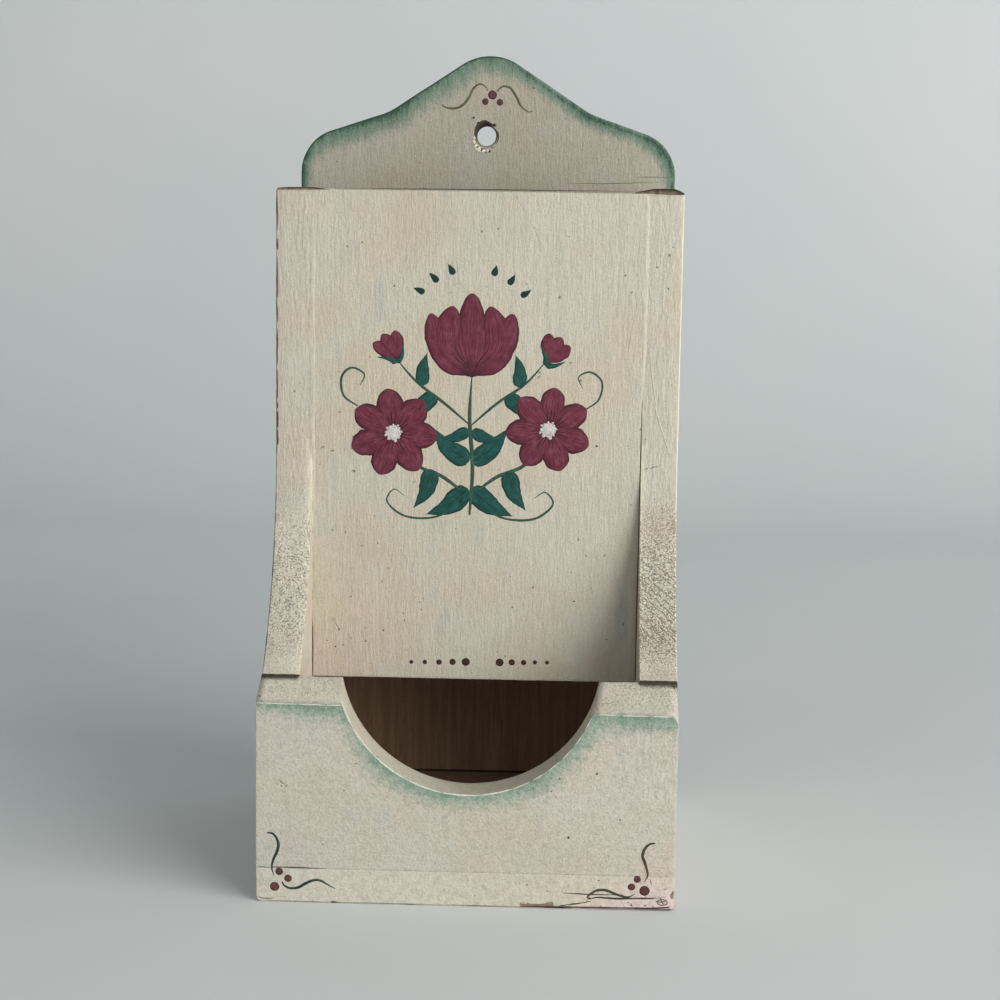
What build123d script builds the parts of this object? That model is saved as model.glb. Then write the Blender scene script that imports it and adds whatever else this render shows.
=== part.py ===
"""Wall-hung matchbox holder: six nailed boards, with a chute for the box and an open tray below it.

The front faces -Y, +Z is up and the origin is at the middle of the holder's base, in millimetres.
"""

import os
from math import acos, atan2, degrees, sqrt, tan

from build123d import *

# Whole body
body_width = 90.0            # over the outer faces of the side boards
body_height = 152.0          # underside to the top of the side boards and the panel
bottom_board_thickness = 7.6
side_board_thickness = 8.2
back_board_thickness = 7.5
front_board_thickness = 9.5
panel_thickness = 6.0
tray_depth = 24.0            # open tray, from the front board back to the panel's face
chute_depth = 39.0           # room for the standing matchbox, from the panel to the back board
worn_edge_radius = 0.5       # hand-eased arrises

# Front board: a sloping top edge, planed a little lower on the right, and a round finger cut-out
ledge_back_height = 47.4
ledge_front_height_left = 43.9
ledge_front_height_right = 42.7
ledge_corner_radius = 2.0
cut_out_radius = 28.2
cut_out_centre_height = 52.8
cut_out_offset = 0.9

# Panel and the swept front edges of the side boards
panel_bottom_height = 42.0
swoop_radius = 60.0

# Back board: a bracket-shaped crest with a hanging hole. The rises are those of the corners
# that its curves round off, each over the one below it
crest_offset = 0.4
crest_shoulder_rise = 11.3   # over the top of the side boards
crest_shoulder_radius = 10.6
crest_valley_rise = 6.95
crest_valley_half_width = 24.2
crest_valley_reach = 1.5     # how far a valley's curve runs up and down from its corner
crest_peak_rise = 15.8
crest_peak_radius = 12.2
hanging_hole_diameter = 5.3
hanging_hole_rise = 12.8     # over the top of the side boards
hanging_hole_offset = -0.5   # drilled a little to the left

# Wire brads
brad_head_diameter = 2.4
brad_head_thickness = 0.6
brad_shank_diameter = 1.3
brad_point_length = 2.0
brad_length = 19.0
brad_set_depth = 0.3         # heads punched this far below the wood

# Brad spacing
front_brad_height = 26.0
panel_brad_low_inset = 15.0  # from the panel's lower end
panel_brad_high_inset = 11.0
panel_brad_count = 3
back_brad_low_inset = 25.0   # from the underside of the holder
back_brad_high_inset = 13.0  # from the top of the side boards
back_brad_count = 4
back_foot_brad_spacing = 40.0
base_brad_front_inset = 21.0
base_brad_back_inset = 9.5
base_brad_count = 3
base_front_brad_spacing = 40.0

# Depths behind the front face, and where the planes come from the middle of the holder
panel_face_depth = front_board_thickness + tray_depth
back_board_face_depth = panel_face_depth + panel_thickness + chute_depth
overall_depth = back_board_face_depth + back_board_thickness
front_y = -overall_depth / 2
front_board_back_y = front_y + front_board_thickness
panel_face_y = front_y + panel_face_depth
panel_back_y = panel_face_y + panel_thickness
back_board_face_y = front_y + back_board_face_depth
back_y = overall_depth / 2

half_width = body_width / 2
inner_half_width = half_width - side_board_thickness
side_centre_x = half_width - side_board_thickness / 2
floor_height = bottom_board_thickness

print(f"body {body_width:.1f} wide, {overall_depth:.1f} deep, chute "
      f"{2 * inner_half_width:.1f} x {chute_depth:.1f}")


# Brads

def brad():
    """One brad pointing down -Z, with the wood's surface at the origin."""
    head_bottom = -(brad_set_depth + brad_head_thickness)
    tip = -(brad_set_depth + brad_length)
    with BuildPart() as one:
        with BuildSketch(Plane.XZ):
            with BuildLine():
                Polyline(
                    (0, -brad_set_depth),
                    (brad_head_diameter / 2, -brad_set_depth),
                    (brad_head_diameter / 2, head_bottom),
                    (brad_shank_diameter / 2, head_bottom),
                    (brad_shank_diameter / 2, tip + brad_point_length),
                    (0, tip),
                    close=True,
                )
            make_face()
        revolve(axis=Axis.Z)
    return one.part


def brad_hole():
    """The space that one brad and its punched recess take, from the wood's surface down."""
    with BuildPart() as hole:
        add(brad())
        with BuildSketch(Plane.XY):
            Circle(brad_head_diameter / 2)
        extrude(amount=-brad_set_depth)
    return hole.part


def row(first, last, count):
    """Evenly spaced places of count brads, from the first to the last."""
    return [first + (last - first) * step / (count - 1) for step in range(count)]


def into(x, y, z, normal):
    """A brad's place: on the wood's surface, driven in against its outward normal."""
    return Plane(origin=(x, y, z), x_dir=(normal[1], normal[2], normal[0]), z_dir=normal).location


front_brad_places = [into(side * side_centre_x, front_y, front_brad_height, (0, -1, 0)) for side in (-1, 1)]
panel_brad_places = [
    into(side * half_width, panel_face_y + panel_thickness / 2, z, (side, 0, 0))
    for side in (-1, 1)
    for z in row(
        panel_bottom_height + panel_brad_low_inset,
        body_height - panel_brad_high_inset,
        panel_brad_count,
    )
]
back_brad_places = [
    into(side * side_centre_x, back_y, z, (0, 1, 0))
    for side in (-1, 1)
    for z in row(back_brad_low_inset, body_height - back_brad_high_inset, back_brad_count)
] + [
    into(side * back_foot_brad_spacing / 2, back_y, bottom_board_thickness / 2, (0, 1, 0))
    for side in (-1, 1)
]
base_brad_places = [
    into(side * side_centre_x, y, 0, (0, 0, -1))
    for side in (-1, 1)
    for y in row(
        front_y + base_brad_front_inset,
        back_board_face_y - base_brad_back_inset,
        base_brad_count,
    )
] + [
    into(side * base_front_brad_spacing / 2, front_y + front_board_thickness / 2, 0, (0, 0, -1))
    for side in (-1, 1)
]


# Boards

with BuildPart() as bottom_board:
    with BuildSketch(Plane.XY):
        with Locations((0, (front_y + back_board_face_y) / 2)):
            Rectangle(body_width, back_board_face_depth)
    extrude(amount=bottom_board_thickness)
    lower = bottom_board.edges().group_by(Axis.Z)[0]
    fillet(lower - lower.group_by(Axis.Y)[-1], worn_edge_radius)
    with Locations(*base_brad_places, *back_brad_places):
        add(brad_hole(), mode=Mode.SUBTRACT)

swoop_depth = panel_face_y - front_board_back_y
swoop_start_height = ledge_back_height + sqrt(swoop_radius**2 - (swoop_radius - swoop_depth) ** 2)
swoop_angle = degrees(acos((swoop_radius - swoop_depth) / swoop_radius))


def side_board(side):
    """One side board, whose front edge sweeps forward from the panel's face to the ledge."""
    with BuildPart() as board:
        with BuildSketch(Plane.YZ.offset(side * side_centre_x)):
            with BuildLine():
                swoop = CenterArc(
                    (panel_face_y - swoop_radius, swoop_start_height),
                    swoop_radius,
                    -swoop_angle,
                    swoop_angle,
                )
                Polyline(
                    swoop @ 1,
                    (panel_face_y, body_height),
                    (back_board_face_y, body_height),
                    (back_board_face_y, floor_height),
                    (front_board_back_y, floor_height),
                    swoop @ 0,
                )
            make_face()
        extrude(amount=side_board_thickness / 2, both=True)
        profile = board.edges().filter_by(Axis.X, reverse=True)
        hidden = profile.group_by(Axis.Y)[-1] + profile.group_by(Axis.Y)[0] + profile.group_by(Axis.Z)[0]
        fillet(profile - hidden, worn_edge_radius)
        with Locations(*front_brad_places, *panel_brad_places, *back_brad_places, *base_brad_places):
            add(brad_hole(), mode=Mode.SUBTRACT)
    return board


left_side_board = side_board(-1)
right_side_board = side_board(1)

with BuildPart() as front_panel:
    panel_height = body_height - panel_bottom_height
    with BuildSketch(Plane.XZ.offset(-panel_face_y)):
        with Locations((0, panel_bottom_height + panel_height / 2)):
            Rectangle(2 * inner_half_width, panel_height)
    extrude(amount=-panel_thickness)
    face_edges = front_panel.faces().sort_by(Axis.Y)[0].edges()
    rear_edges = front_panel.faces().sort_by(Axis.Y)[-1].edges()
    fillet(face_edges + rear_edges.group_by(Axis.Z)[0] + rear_edges.group_by(Axis.Z)[-1], worn_edge_radius)
    with Locations(*panel_brad_places):
        add(brad_hole(), mode=Mode.SUBTRACT)


def front_board_end(x, ledge_front_height):
    """The front board's end, with the sloping ledge on top."""
    with BuildSketch(Plane.YZ.offset(x)) as end:
        with BuildLine():
            Polyline(
                (front_y, floor_height),
                (front_board_back_y, floor_height),
                (front_board_back_y, ledge_back_height),
                (front_y, ledge_front_height),
                close=True,
            )
        make_face()
    return end.sketch


with BuildPart() as front_board:
    loft([front_board_end(-half_width, ledge_front_height_left),
          front_board_end(half_width, ledge_front_height_right)], ruled=True)
    with BuildSketch(Plane.XZ.offset(-front_y)):
        with Locations((cut_out_offset, cut_out_centre_height)):
            Circle(cut_out_radius)
    extrude(amount=-front_board_thickness, mode=Mode.SUBTRACT)
    right_end = front_board.faces().sort_by(Axis.X)[-1]
    fillet(right_end.edges().sort_by(Axis.Z)[-1], ledge_corner_radius)
    face_edges = front_board.faces().sort_by(Axis.Y)[0].edges()
    fillet(face_edges - face_edges.group_by(Axis.Z)[0], worn_edge_radius)
    with Locations(*front_brad_places, *base_brad_places):
        add(brad_hole(), mode=Mode.SUBTRACT)

crest_shoulder_height = body_height + crest_shoulder_rise
crest_valley_height = crest_shoulder_height + crest_valley_rise
crest_peak_height = crest_valley_height + crest_peak_rise
hanging_hole_height = body_height + hanging_hole_rise


def valley_radius(side):
    """The radius at which a valley's curve meets both its slopes at the valley's reach."""
    shoulder_run = half_width - crest_valley_half_width - side * crest_offset
    turn = atan2(crest_peak_rise, crest_valley_half_width) - atan2(crest_valley_rise, shoulder_run)
    return crest_valley_reach / tan(turn / 2)


with BuildPart() as back_board:
    with BuildSketch(Plane.XZ.offset(-back_board_face_y)):
        with BuildLine():
            crest = FilletPolyline(
                (-half_width, 0),
                (-half_width, crest_shoulder_height),
                (crest_offset - crest_valley_half_width, crest_valley_height),
                (crest_offset, crest_peak_height),
                (crest_offset + crest_valley_half_width, crest_valley_height),
                (half_width, crest_shoulder_height),
                (half_width, 0),
                radius=[
                    crest_shoulder_radius,
                    valley_radius(-1),
                    crest_peak_radius,
                    valley_radius(1),
                    crest_shoulder_radius,
                ],
            )
            Line(crest @ 1, crest @ 0)
        make_face()
    extrude(amount=-back_board_thickness)
    outline = back_board.edges().filter_by(Axis.Y, reverse=True)
    fillet(outline - outline.group_by(Axis.Z)[0], worn_edge_radius)
    with BuildSketch(Plane.XZ.offset(-back_board_face_y)):
        with Locations((hanging_hole_offset, hanging_hole_height)):
            Circle(hanging_hole_diameter / 2)
    extrude(amount=-back_board_thickness, mode=Mode.SUBTRACT)
    with Locations(*back_brad_places):
        add(brad_hole(), mode=Mode.SUBTRACT)


def brads(places):
    """A group of like brads."""
    with BuildPart() as group:
        with Locations(*places):
            add(brad())
    return group


front_board_brads = brads(front_brad_places)
front_panel_brads = brads(panel_brad_places)
back_board_brads = brads(back_brad_places)
bottom_board_brads = brads(base_brad_places)

pieces = {
    "back_board": back_board,
    "left_side_board": left_side_board,
    "right_side_board": right_side_board,
    "front_panel": front_panel,
    "front_board": front_board,
    "bottom_board": bottom_board,
    "front_board_brads": front_board_brads,
    "front_panel_brads": front_panel_brads,
    "back_board_brads": back_board_brads,
    "bottom_board_brads": bottom_board_brads,
}

os.makedirs("parts", exist_ok=True)
for name, piece in pieces.items():
    piece.part.label = name
    export_step(piece.part, f"parts/{name}.step")
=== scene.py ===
from math import acos, asin, atan2, ceil, cos, exp, hypot, pi, radians, sin, sqrt, tan

import bmesh
import bpy
import numpy as np
from mathutils import Matrix, Vector, noise
from mathutils.geometry import delaunay_2d_cdt


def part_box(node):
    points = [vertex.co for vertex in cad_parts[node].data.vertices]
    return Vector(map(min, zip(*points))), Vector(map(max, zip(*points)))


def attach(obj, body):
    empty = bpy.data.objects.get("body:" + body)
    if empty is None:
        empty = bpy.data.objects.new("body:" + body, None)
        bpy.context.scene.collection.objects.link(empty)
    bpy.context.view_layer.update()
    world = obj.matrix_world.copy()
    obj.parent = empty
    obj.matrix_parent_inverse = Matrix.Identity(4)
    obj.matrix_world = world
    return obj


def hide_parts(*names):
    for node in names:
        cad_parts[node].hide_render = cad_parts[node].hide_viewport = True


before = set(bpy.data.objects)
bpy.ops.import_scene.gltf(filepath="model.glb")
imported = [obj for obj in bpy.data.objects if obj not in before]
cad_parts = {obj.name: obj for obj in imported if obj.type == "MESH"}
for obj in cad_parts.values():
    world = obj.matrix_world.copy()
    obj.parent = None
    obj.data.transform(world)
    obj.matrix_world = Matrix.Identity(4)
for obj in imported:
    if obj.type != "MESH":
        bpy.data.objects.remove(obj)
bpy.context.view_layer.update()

# Sizes from here on are in millimetres, and MM turns them into metres
MM = 0.001


def box_mm(node):
    """Lowest and highest corner of a CAD node, in millimetres."""
    low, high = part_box(node)
    return [c / MM for c in low], [c / MM for c in high]


back_low, back_high = box_mm("back_board")
side_low, side_high = box_mm("right_side_board")
panel_low, panel_high = box_mm("front_panel")
front_low, front_high = box_mm("front_board")
base_low, base_high = box_mm("bottom_board")

half_width = back_high[0]
inner_half_width = side_low[0]
front_y = front_low[1]
painted_y = front_y + 0.12   # the worn face, behind the strokes painted on it
front_back_y = front_high[1]
panel_y = panel_low[1]
panel_back_y = panel_high[1]
back_face_y = back_low[1]
back_y = back_high[1]
floor_z = base_high[2]
body_z = side_high[2]

# Shapes that the CAD boards have, told again for the detailed boards
swoop_radius = 60.0
ledge_front_z = 43.9, 42.7   # at the left end and at the right end
ledge_back_left_z = 47.7
ledge_back_right_z = 48.0
cut_out_radius = 28.1
cut_out_z = 52.8
cut_out_x = 0.4
crest_x = 0.4
crest_peak_z = 186.05
crest_valley_x = 24.2
crest_valley_z = 170.25
crest_shoulder_z = 163.3
crest_radii = (10.6, 11.93, 12.2, 11.4, 10.6)
hanging_hole_x = -0.5
hanging_hole_z = 164.8
hanging_hole_radius = 2.65


def placed(name, data):
    """A new object of the scene with this data."""
    made = bpy.data.objects.new(name, data)
    bpy.context.scene.collection.objects.link(made)
    return made


# Camera, where the photograph was taken from

def photo_camera():
    """A long lens a little right of the middle, looking slightly down."""
    yaw, pitch, roll = 0.0296, 0.1493, 0.0147
    place = Vector((19.49, -441.14 + front_y, 154.84)) * MM
    data = bpy.data.cameras.new("photo_camera")
    data.sensor_width = 36.0
    data.lens = 77.0
    data.clip_start = 0.01
    camera = placed("photo_camera", data)
    turn = Matrix()
    for angle, axis in ((yaw, "Z"), (pi / 2 - pitch, "X"), (roll, "Z")):
        turn = turn @ Matrix.Rotation(angle, 4, axis)
    camera.matrix_world = Matrix.Translation(place) @ turn
    bpy.context.scene.camera = camera


photo_camera()


# Material nodes

class Shader:
    """A material under construction, with short calls for the nodes it uses."""

    def __init__(self, name):
        self.material = bpy.data.materials.new(name)
        self.material.use_nodes = True
        self.tree = self.material.node_tree
        self.tree.nodes.clear()
        self.bsdf = self.node("BsdfPrincipled")
        self.out = self.node("OutputMaterial", {0: self.bsdf.outputs[0]})
        self.position = self.node("TexCoord").outputs["Object"]

    def node(self, kind, inputs=None, **settings):
        """A node with settings, whose inputs each take a value or a link from another node."""
        made = self.tree.nodes.new("ShaderNode" + kind)
        for key, value in settings.items():
            setattr(made, key, value)
        for key, value in (inputs or {}).items():
            self.link(value, made.inputs[key])
        return made

    def link(self, source, target):
        if hasattr(source, "links"):
            self.tree.links.new(source, target)
        else:
            target.default_value = source

    def math(self, operation, *values):
        return self.node("Math", dict(enumerate(values)), operation=operation).outputs[0]

    def sway(self, base, *parts):
        """The base plus each noise times its weight, where a noise of 0.5 adds nothing."""
        for value, weight in parts:
            base = self.math("ADD", base, self.math("MULTIPLY_ADD", value, weight, -weight / 2))
        return base

    def times(self, vector, factors):
        """A vector or colour, multiplied by three factors."""
        return self.node("VectorMath", {0: vector, 1: factors}, operation="MULTIPLY").outputs[0]

    def stretch(self, axis, slow):
        """The position, with features drawn out along one axis."""
        return self.times(self.position, [slow if k == axis else 1.0 for k in range(3)])

    def along(self, direction):
        """How far the position lies along a direction."""
        made = self.node("VectorMath", {0: self.position, 1: direction}, operation="DOT_PRODUCT")
        return made.outputs["Value"]

    def point(self, *values):
        return self.node("CombineXYZ", dict(enumerate(values))).outputs[0]

    def scaled(self, colour, value):
        return self.node("VectorMath", {0: colour, "Scale": value}, operation="SCALE").outputs[0]

    def noise(self, vector, scale, detail=3.0, rough=0.55, warp=0.0):
        inputs = {"Vector": vector, "Scale": scale, "Detail": detail, "Roughness": rough, "Distortion": warp}
        return self.node("TexNoise", inputs).outputs["Fac"]

    def smooth(self, value, low, high, to_low=0.0, to_high=1.0):
        """A smooth step from to_low where the value is low to to_high where it is high."""
        inputs = {"Value": value, "From Min": low, "From Max": high, "To Min": to_low, "To Max": to_high}
        return self.node("MapRange", inputs, interpolation_type="SMOOTHSTEP").outputs["Result"]

    def mix(self, amount, a, b):
        return self.node("Mix", {"Factor": amount, 6: a, 7: b}, data_type="RGBA").outputs[2]

    def tint(self, colour, value, low, high, other, most=1.0):
        """A colour that turns into another one as the value goes from low to high."""
        return self.mix(self.smooth(value, low, high, 0.0, most), colour, other)

    def attribute(self, name):
        return self.node("Attribute", attribute_name=name).outputs["Fac"]

    def bump(self, height, distance, strength):
        inputs = {"Height": height, "Distance": distance * MM, "Strength": strength}
        return self.node("Bump", inputs).outputs["Normal"]

    def finish(self, colour, roughness, specular, normal=None):
        self.link(colour, self.bsdf.inputs["Base Color"])
        self.link(roughness, self.bsdf.inputs["Roughness"])
        if normal is not None:
            self.link(normal, self.bsdf.inputs["Normal"])
        self.bsdf.inputs["Specular IOR Level"].default_value = specular
        return self.material


def srgb(red, green, blue):
    """A colour as the eye reads it, 0 to 255, turned into the shader's linear one."""
    linear = [((c / 255 + 0.055) / 1.055) ** 2.4 if c > 10 else c / 255 / 12.92 for c in (red, green, blue)]
    return (*linear, 1.0)


CREAM = srgb(194, 188, 172)
CREAM_WARM = srgb(192, 182, 162)
CREAM_GREY = srgb(168, 170, 160)
CREAM_PINK = srgb(206, 184, 178)
CREAM_WORN_AND_LIT = srgb(229, 221, 199)
GREEN = srgb(112, 140, 120)
GREEN_BLUE = srgb(122, 150, 132)
GREEN_DEEP = srgb(44, 80, 62)
END_GRAIN = srgb(80, 67, 53)
WOOD = srgb(170, 144, 118)
WOOD_DARK = srgb(152, 126, 102)
CHIP = srgb(142, 122, 102)
CHIP_DARK = srgb(84, 66, 50)
GRIME_AND_SHADE = srgb(52, 42, 33)
NO_GREEN = 0.0
GREEN_EDGE = 10.0            # the green mark is this, less the distance from the painted edge


def painted_wood(name, brush, fibre, grit, tone=(1.0, 1.0, 1.0)):
    """Aged cream paint over wood. brush and fibre are the axes of the brush marks and of the grain."""
    s = Shader(name)
    smoothness = 1.0 - grit
    fine = s.noise(s.stretch(brush, 0.17), 1800.0, 3.0, 0.62, 0.4)
    middle = s.noise(s.stretch(brush, 0.12), 760.0, 3.0, 0.55, 0.3)
    broad = s.noise(s.stretch(brush, 0.10), 200.0, 3.0, 0.5)
    sand = s.noise(s.position, 2300.0, 3.0, 0.65)
    mottle = s.noise(s.position, 560.0, 3.0, 0.6)
    cloud = s.noise(s.position, 55.0, 3.0, 0.55)
    speck = s.noise(s.position, 700.0, 1.0, 0.5)

    colour = s.tint(CREAM, cloud, 0.38, 0.66, CREAM_WARM)
    smear = s.math("MULTIPLY", s.smooth(broad, 0.50, 0.72), s.smooth(cloud, 0.58, 0.40))
    colour = s.mix(s.math("MULTIPLY", smear, 0.25 + 0.35 * smoothness), colour, CREAM_GREY)
    colour = s.tint(colour, mottle, 0.54, 0.72, CREAM_GREY, 0.25 + 0.4 * grit)
    blush = s.sway(s.attribute("pink"), (cloud, 1.4), (mottle, 0.9))
    colour = s.tint(colour, blush, 0.3, 1.1, CREAM_PINK, 0.85)
    light = s.sway(1.0, (fine, 0.08 + 0.24 * smoothness), (middle, 0.05 + 0.12 * smoothness),
                   (broad, 0.12 * smoothness), (sand, 0.42 + 0.34 * grit), (mottle, 0.12 + 0.38 * grit))
    colour = s.scaled(colour, light)
    # The worn mark turns the cream paler, as rubbed paint; on the ledge tops and on the side boards' inner
    # faces this paler cream is painted light.
    worn = s.sway(s.attribute("worn"), (mottle, 0.5))
    colour = s.tint(colour, worn, 0.25, 0.95, CREAM_WORN_AND_LIT, 0.9)

    # Green brushed on along the edges, fading into the cream
    away = s.math("SUBTRACT", GREEN_EDGE, s.attribute("green"))
    away = s.sway(away, (fine, 5.2 * smoothness), (middle, 5.0 * smoothness), (sand, 3.6),
                  (mottle, 1.0 + 4.6 * grit), (cloud, 4.0))
    hue = s.tint(GREEN, cloud, 0.42, 0.62, GREEN_BLUE)
    colour = s.tint(colour, away, 6.0, -1.0, s.scaled(hue, light), 0.95)
    colour = s.tint(colour, away, -0.2, -3.6, GREEN_DEEP, 0.92)
    colour = s.tint(s.times(colour, tone), speck, 0.765, 0.80, GRIME_AND_SHADE, 0.6)

    # Open grain where the front edges sweep across the fibres: broken rings at a slant, and pits
    open_end = s.attribute("end_grain")
    across, down = s.along((0.60, 0.0, 0.80)), s.along((0.80, 0.0, -0.60))
    rings = s.math("SINE", s.sway(s.math("MULTIPLY", across, 5400.0), (cloud, 18.0), (mottle, 4.0)))
    broken = s.noise(s.point(across, s.math("MULTIPLY", down, 0.35), 0.0), 2000.0, 2.0, 0.6)
    rings = s.math("MULTIPLY", s.smooth(rings, 0.60, 1.0), s.smooth(broken, 0.42, 0.54))
    rings = s.math("MULTIPLY", rings, s.smooth(open_end, 0.56, 0.80))
    inward_axis = s.along((0.0, 1.0, 0.0))
    pits = s.noise(s.point(across, s.math("MULTIPLY", down, 0.42), inward_axis), 4300.0, 2.0, 0.6)
    pits = s.smooth(s.sway(pits, (cloud, 0.25), (mottle, 0.35)), 0.52, 0.60)
    open_grain = s.math("MULTIPLY", s.math("MAXIMUM", rings, s.math("MULTIPLY", pits, 0.90)),
                        s.smooth(open_end, 0.10, 0.78))
    colour = s.mix(s.math("MULTIPLY", open_grain, 0.78), colour, END_GRAIN)
    ripple = s.noise(s.stretch(2, 0.25), 560.0, 2.0, 0.5, 1.5)
    ripple = s.math("MULTIPLY", ripple, s.smooth(open_end, 0.0, 0.1))

    # Wood, where the paint stops inside and behind, and in the chips
    growth = s.noise(s.stretch(fibre, 0.07), 700.0, 4.0, 0.6, 0.6)
    figure = s.noise(s.stretch(fibre, 0.10), 160.0, 3.0, 0.5, 0.8)
    wood = s.tint(WOOD, growth, 0.36, 0.62, WOOD_DARK)
    wood = s.scaled(wood, s.sway(1.0, (figure, 0.25), (sand, 0.4)))
    bare_mask = s.smooth(s.sway(s.attribute("bare"), (sand, 0.4), (mottle, 0.5)), 0.44, 0.56)
    colour = s.mix(bare_mask, colour, wood)
    chip_mask = s.smooth(s.sway(s.attribute("chip"), (sand, 0.5), (mottle, 0.7)), 0.42, 0.58)
    colour = s.mix(chip_mask, colour, s.tint(CHIP, growth, 0.40, 0.62, CHIP_DARK))
    # The dirt mark darkens the paint towards grime; at the crest's foot, the ledge joints, the panel's open
    # seams and lower right corner, the left side's outer arris and the bottom edge it is painted shade.
    dirt = s.sway(s.attribute("dirt"), (sand, 0.35), (mottle, 0.2))
    colour = s.tint(colour, dirt, 0.22, 0.78, GRIME_AND_SHADE, 0.92)

    height = s.sway(0.0, (fine, 1.05 * smoothness), (middle, 0.7 * smoothness), (sand, 0.55 + 0.4 * grit),
                    (mottle, 0.3 + 0.8 * grit), (open_grain, -1.0), (chip_mask, -0.5), (ripple, 1.0))
    normal = s.bump(height, 0.20, 0.9)
    rough = s.math("MULTIPLY_ADD", bare_mask, 0.15, s.smooth(middle, 0.35, 0.65, 0.54, 0.66))
    return s.finish(colour, rough, 0.3, normal)


PAINT_UP = painted_wood("cream_paint_upright", 2, 2, 0.1)
# The crest's cream is made darker all over than the body's.
PAINT_CREST = painted_wood("cream_paint_crest", 2, 2, 0.2, (0.76, 0.77, 0.77))
PAINT_SANDY = painted_wood("cream_paint_sandy", 0, 0, 0.85, (0.995, 1.01, 1.045))


def stroke_paint(name, body, edge, streak, gloss=0.55):
    """Brush paint: hair streaks run along each stroke, and its edges are darker."""
    body, edge, streak = srgb(*body), srgb(*edge), srgb(*streak)
    s = Shader(name)
    along, across = s.attribute("along"), s.attribute("across")
    place = s.point(s.math("MULTIPLY", along, 1.1), s.math("MULTIPLY", across, 3.6), s.attribute("stroke"))
    hair = s.noise(place, 3.0, 5.0, 0.65)
    patch = s.noise(s.position, 520.0, 3.0, 0.6)
    sand = s.noise(s.position, 2300.0, 3.0, 0.65)
    colour = s.tint(body, s.sway(hair, (patch, 0.6)), 0.46, 0.74, streak, 0.8)
    colour = s.tint(colour, s.sway(hair, (patch, 0.4)), 0.50, 0.28, edge, 0.75)
    rim = s.sway(s.math("ABSOLUTE", across), (patch, 0.5))
    colour = s.tint(colour, rim, 0.62, 1.0, edge, 0.95)
    colour = s.tint(colour, s.sway(s.attribute("heart"), (hair, 1.0)), 0.35, 0.95, edge, 0.85)
    colour = s.scaled(colour, s.sway(1.0, (sand, 0.5), (patch, 0.35)))
    height = s.sway(0.0, (hair, 0.9), (patch, 0.4), (sand, 0.5))
    rough = s.smooth(patch, 0.3, 0.7, gloss, gloss + 0.12)
    return s.finish(colour, rough, 0.3, s.bump(height, 0.12, 0.8))


BURGUNDY = stroke_paint("burgundy_paint", (102, 38, 55), (54, 12, 26), (126, 70, 86))
BERRY = stroke_paint("berry_paint", (88, 50, 50), (56, 30, 30), (106, 68, 68))
DOT = stroke_paint("dot_paint", (64, 34, 32), (38, 20, 18), (82, 50, 48))
LEAF = stroke_paint("leaf_paint", (12, 70, 64), (4, 38, 32), (40, 96, 88))
DAB = stroke_paint("dab_paint", (12, 46, 38), (6, 30, 24), (28, 64, 54))
VEIN = stroke_paint("vein_paint", (12, 46, 38), (6, 34, 28), (28, 66, 56))
STEM = stroke_paint("stem_paint", (44, 76, 60), (24, 48, 38), (78, 106, 86))
DARK = stroke_paint("liner_paint", (54, 22, 32), (38, 14, 22), (74, 36, 46))
OLIVE = stroke_paint("tendril_paint", (88, 92, 68), (62, 66, 46), (118, 120, 94))
WHITE = stroke_paint("white_paint", (196, 190, 188), (162, 154, 154), (220, 214, 214), 0.65)
DARK_LINE_PAINT = stroke_paint("dark_line_paint", (62, 58, 46), (42, 38, 30), (88, 84, 70), 0.7)
EDGE_WEAR = stroke_paint("worn_edges", (224, 218, 200), (210, 204, 186), (234, 228, 214), 0.65)
STAIN = stroke_paint("purple_stain", (76, 52, 60), (54, 36, 42), (104, 76, 84), 0.7)
EDGE_SHADE_PAINT = stroke_paint("edge_shade_paint", (92, 74, 58), (66, 52, 40), (120, 100, 80), 0.7)
EDGE_GREEN = stroke_paint("dark_green_line", (52, 88, 70), (66, 104, 86), (36, 68, 52), 0.6)
TENDRIL = stroke_paint("dark_tendril_paint", (32, 58, 46), (18, 36, 28), (60, 88, 72))
SOIL = stroke_paint("soil_specks", (72, 56, 46), (46, 36, 30), (96, 78, 64), 0.7)


def steel(name):
    s = Shader(name)
    spot = s.noise(s.position, 900.0, 4.0, 0.6)
    colour = s.tint(srgb(122, 116, 108), spot, 0.4, 0.7, srgb(96, 66, 46))
    s.bsdf.inputs["Metallic"].default_value = 0.85
    return s.finish(colour, s.smooth(spot, 0.35, 0.7, 0.38, 0.7), 0.5, s.bump(spot, 0.05, 0.6))


STEEL = steel("dull_steel")


# Boards

STEP = 1.6                   # spacing of points along an outline
FACE_STEP = 2.6              # spacing of points on a face
SIDE_STEP = 2.4              # spacing of rings from face to face
FACE_MARGIN = 0.45           # from an arris to the first ring on a face
GROOVE_STEP = 0.8            # spacing of points along a groove
GROOVE_LANES = (-1.9, -1.0, 0.0, 1.0, 1.9)   # across a groove, in half widths
DIP_RINGS = ((0.0, 1), (0.4, 6), (0.75, 10), (1.1, 14), (1.5, 16))   # share of the radius, and points
FRONT, BACK, RIM, BORE = 0, 1, 2, 3
SEAT_RADIUS = 1.25           # of the recess that a brad's head sits in
SEAT_DEPTH = 0.33
SEAT_LIP = 0.12              # how much the recess widens at the face
PATH_STEP = 0.35             # spacing of points along a stroke of paint
FAR_FROM_EDGE = 99.0         # the edge mark of points round a hole
ON_EDGE = 0.4                # how near to an edge a point counts as lying on it
SUNK = 0.04                  # how far the edge of a stroke of paint lies below the face


def split(start, end, count):
    """Count points from start up to, but without, end."""
    return [(start[0] + (end[0] - start[0]) * k / count, start[1] + (end[1] - start[1]) * k / count)
            for k in range(count)]


def line(start, end, step=STEP):
    """Evenly spaced points from start up to, but without, end."""
    return split(start, end, max(1, ceil(hypot(end[0] - start[0], end[1] - start[1]) / step)))


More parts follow.
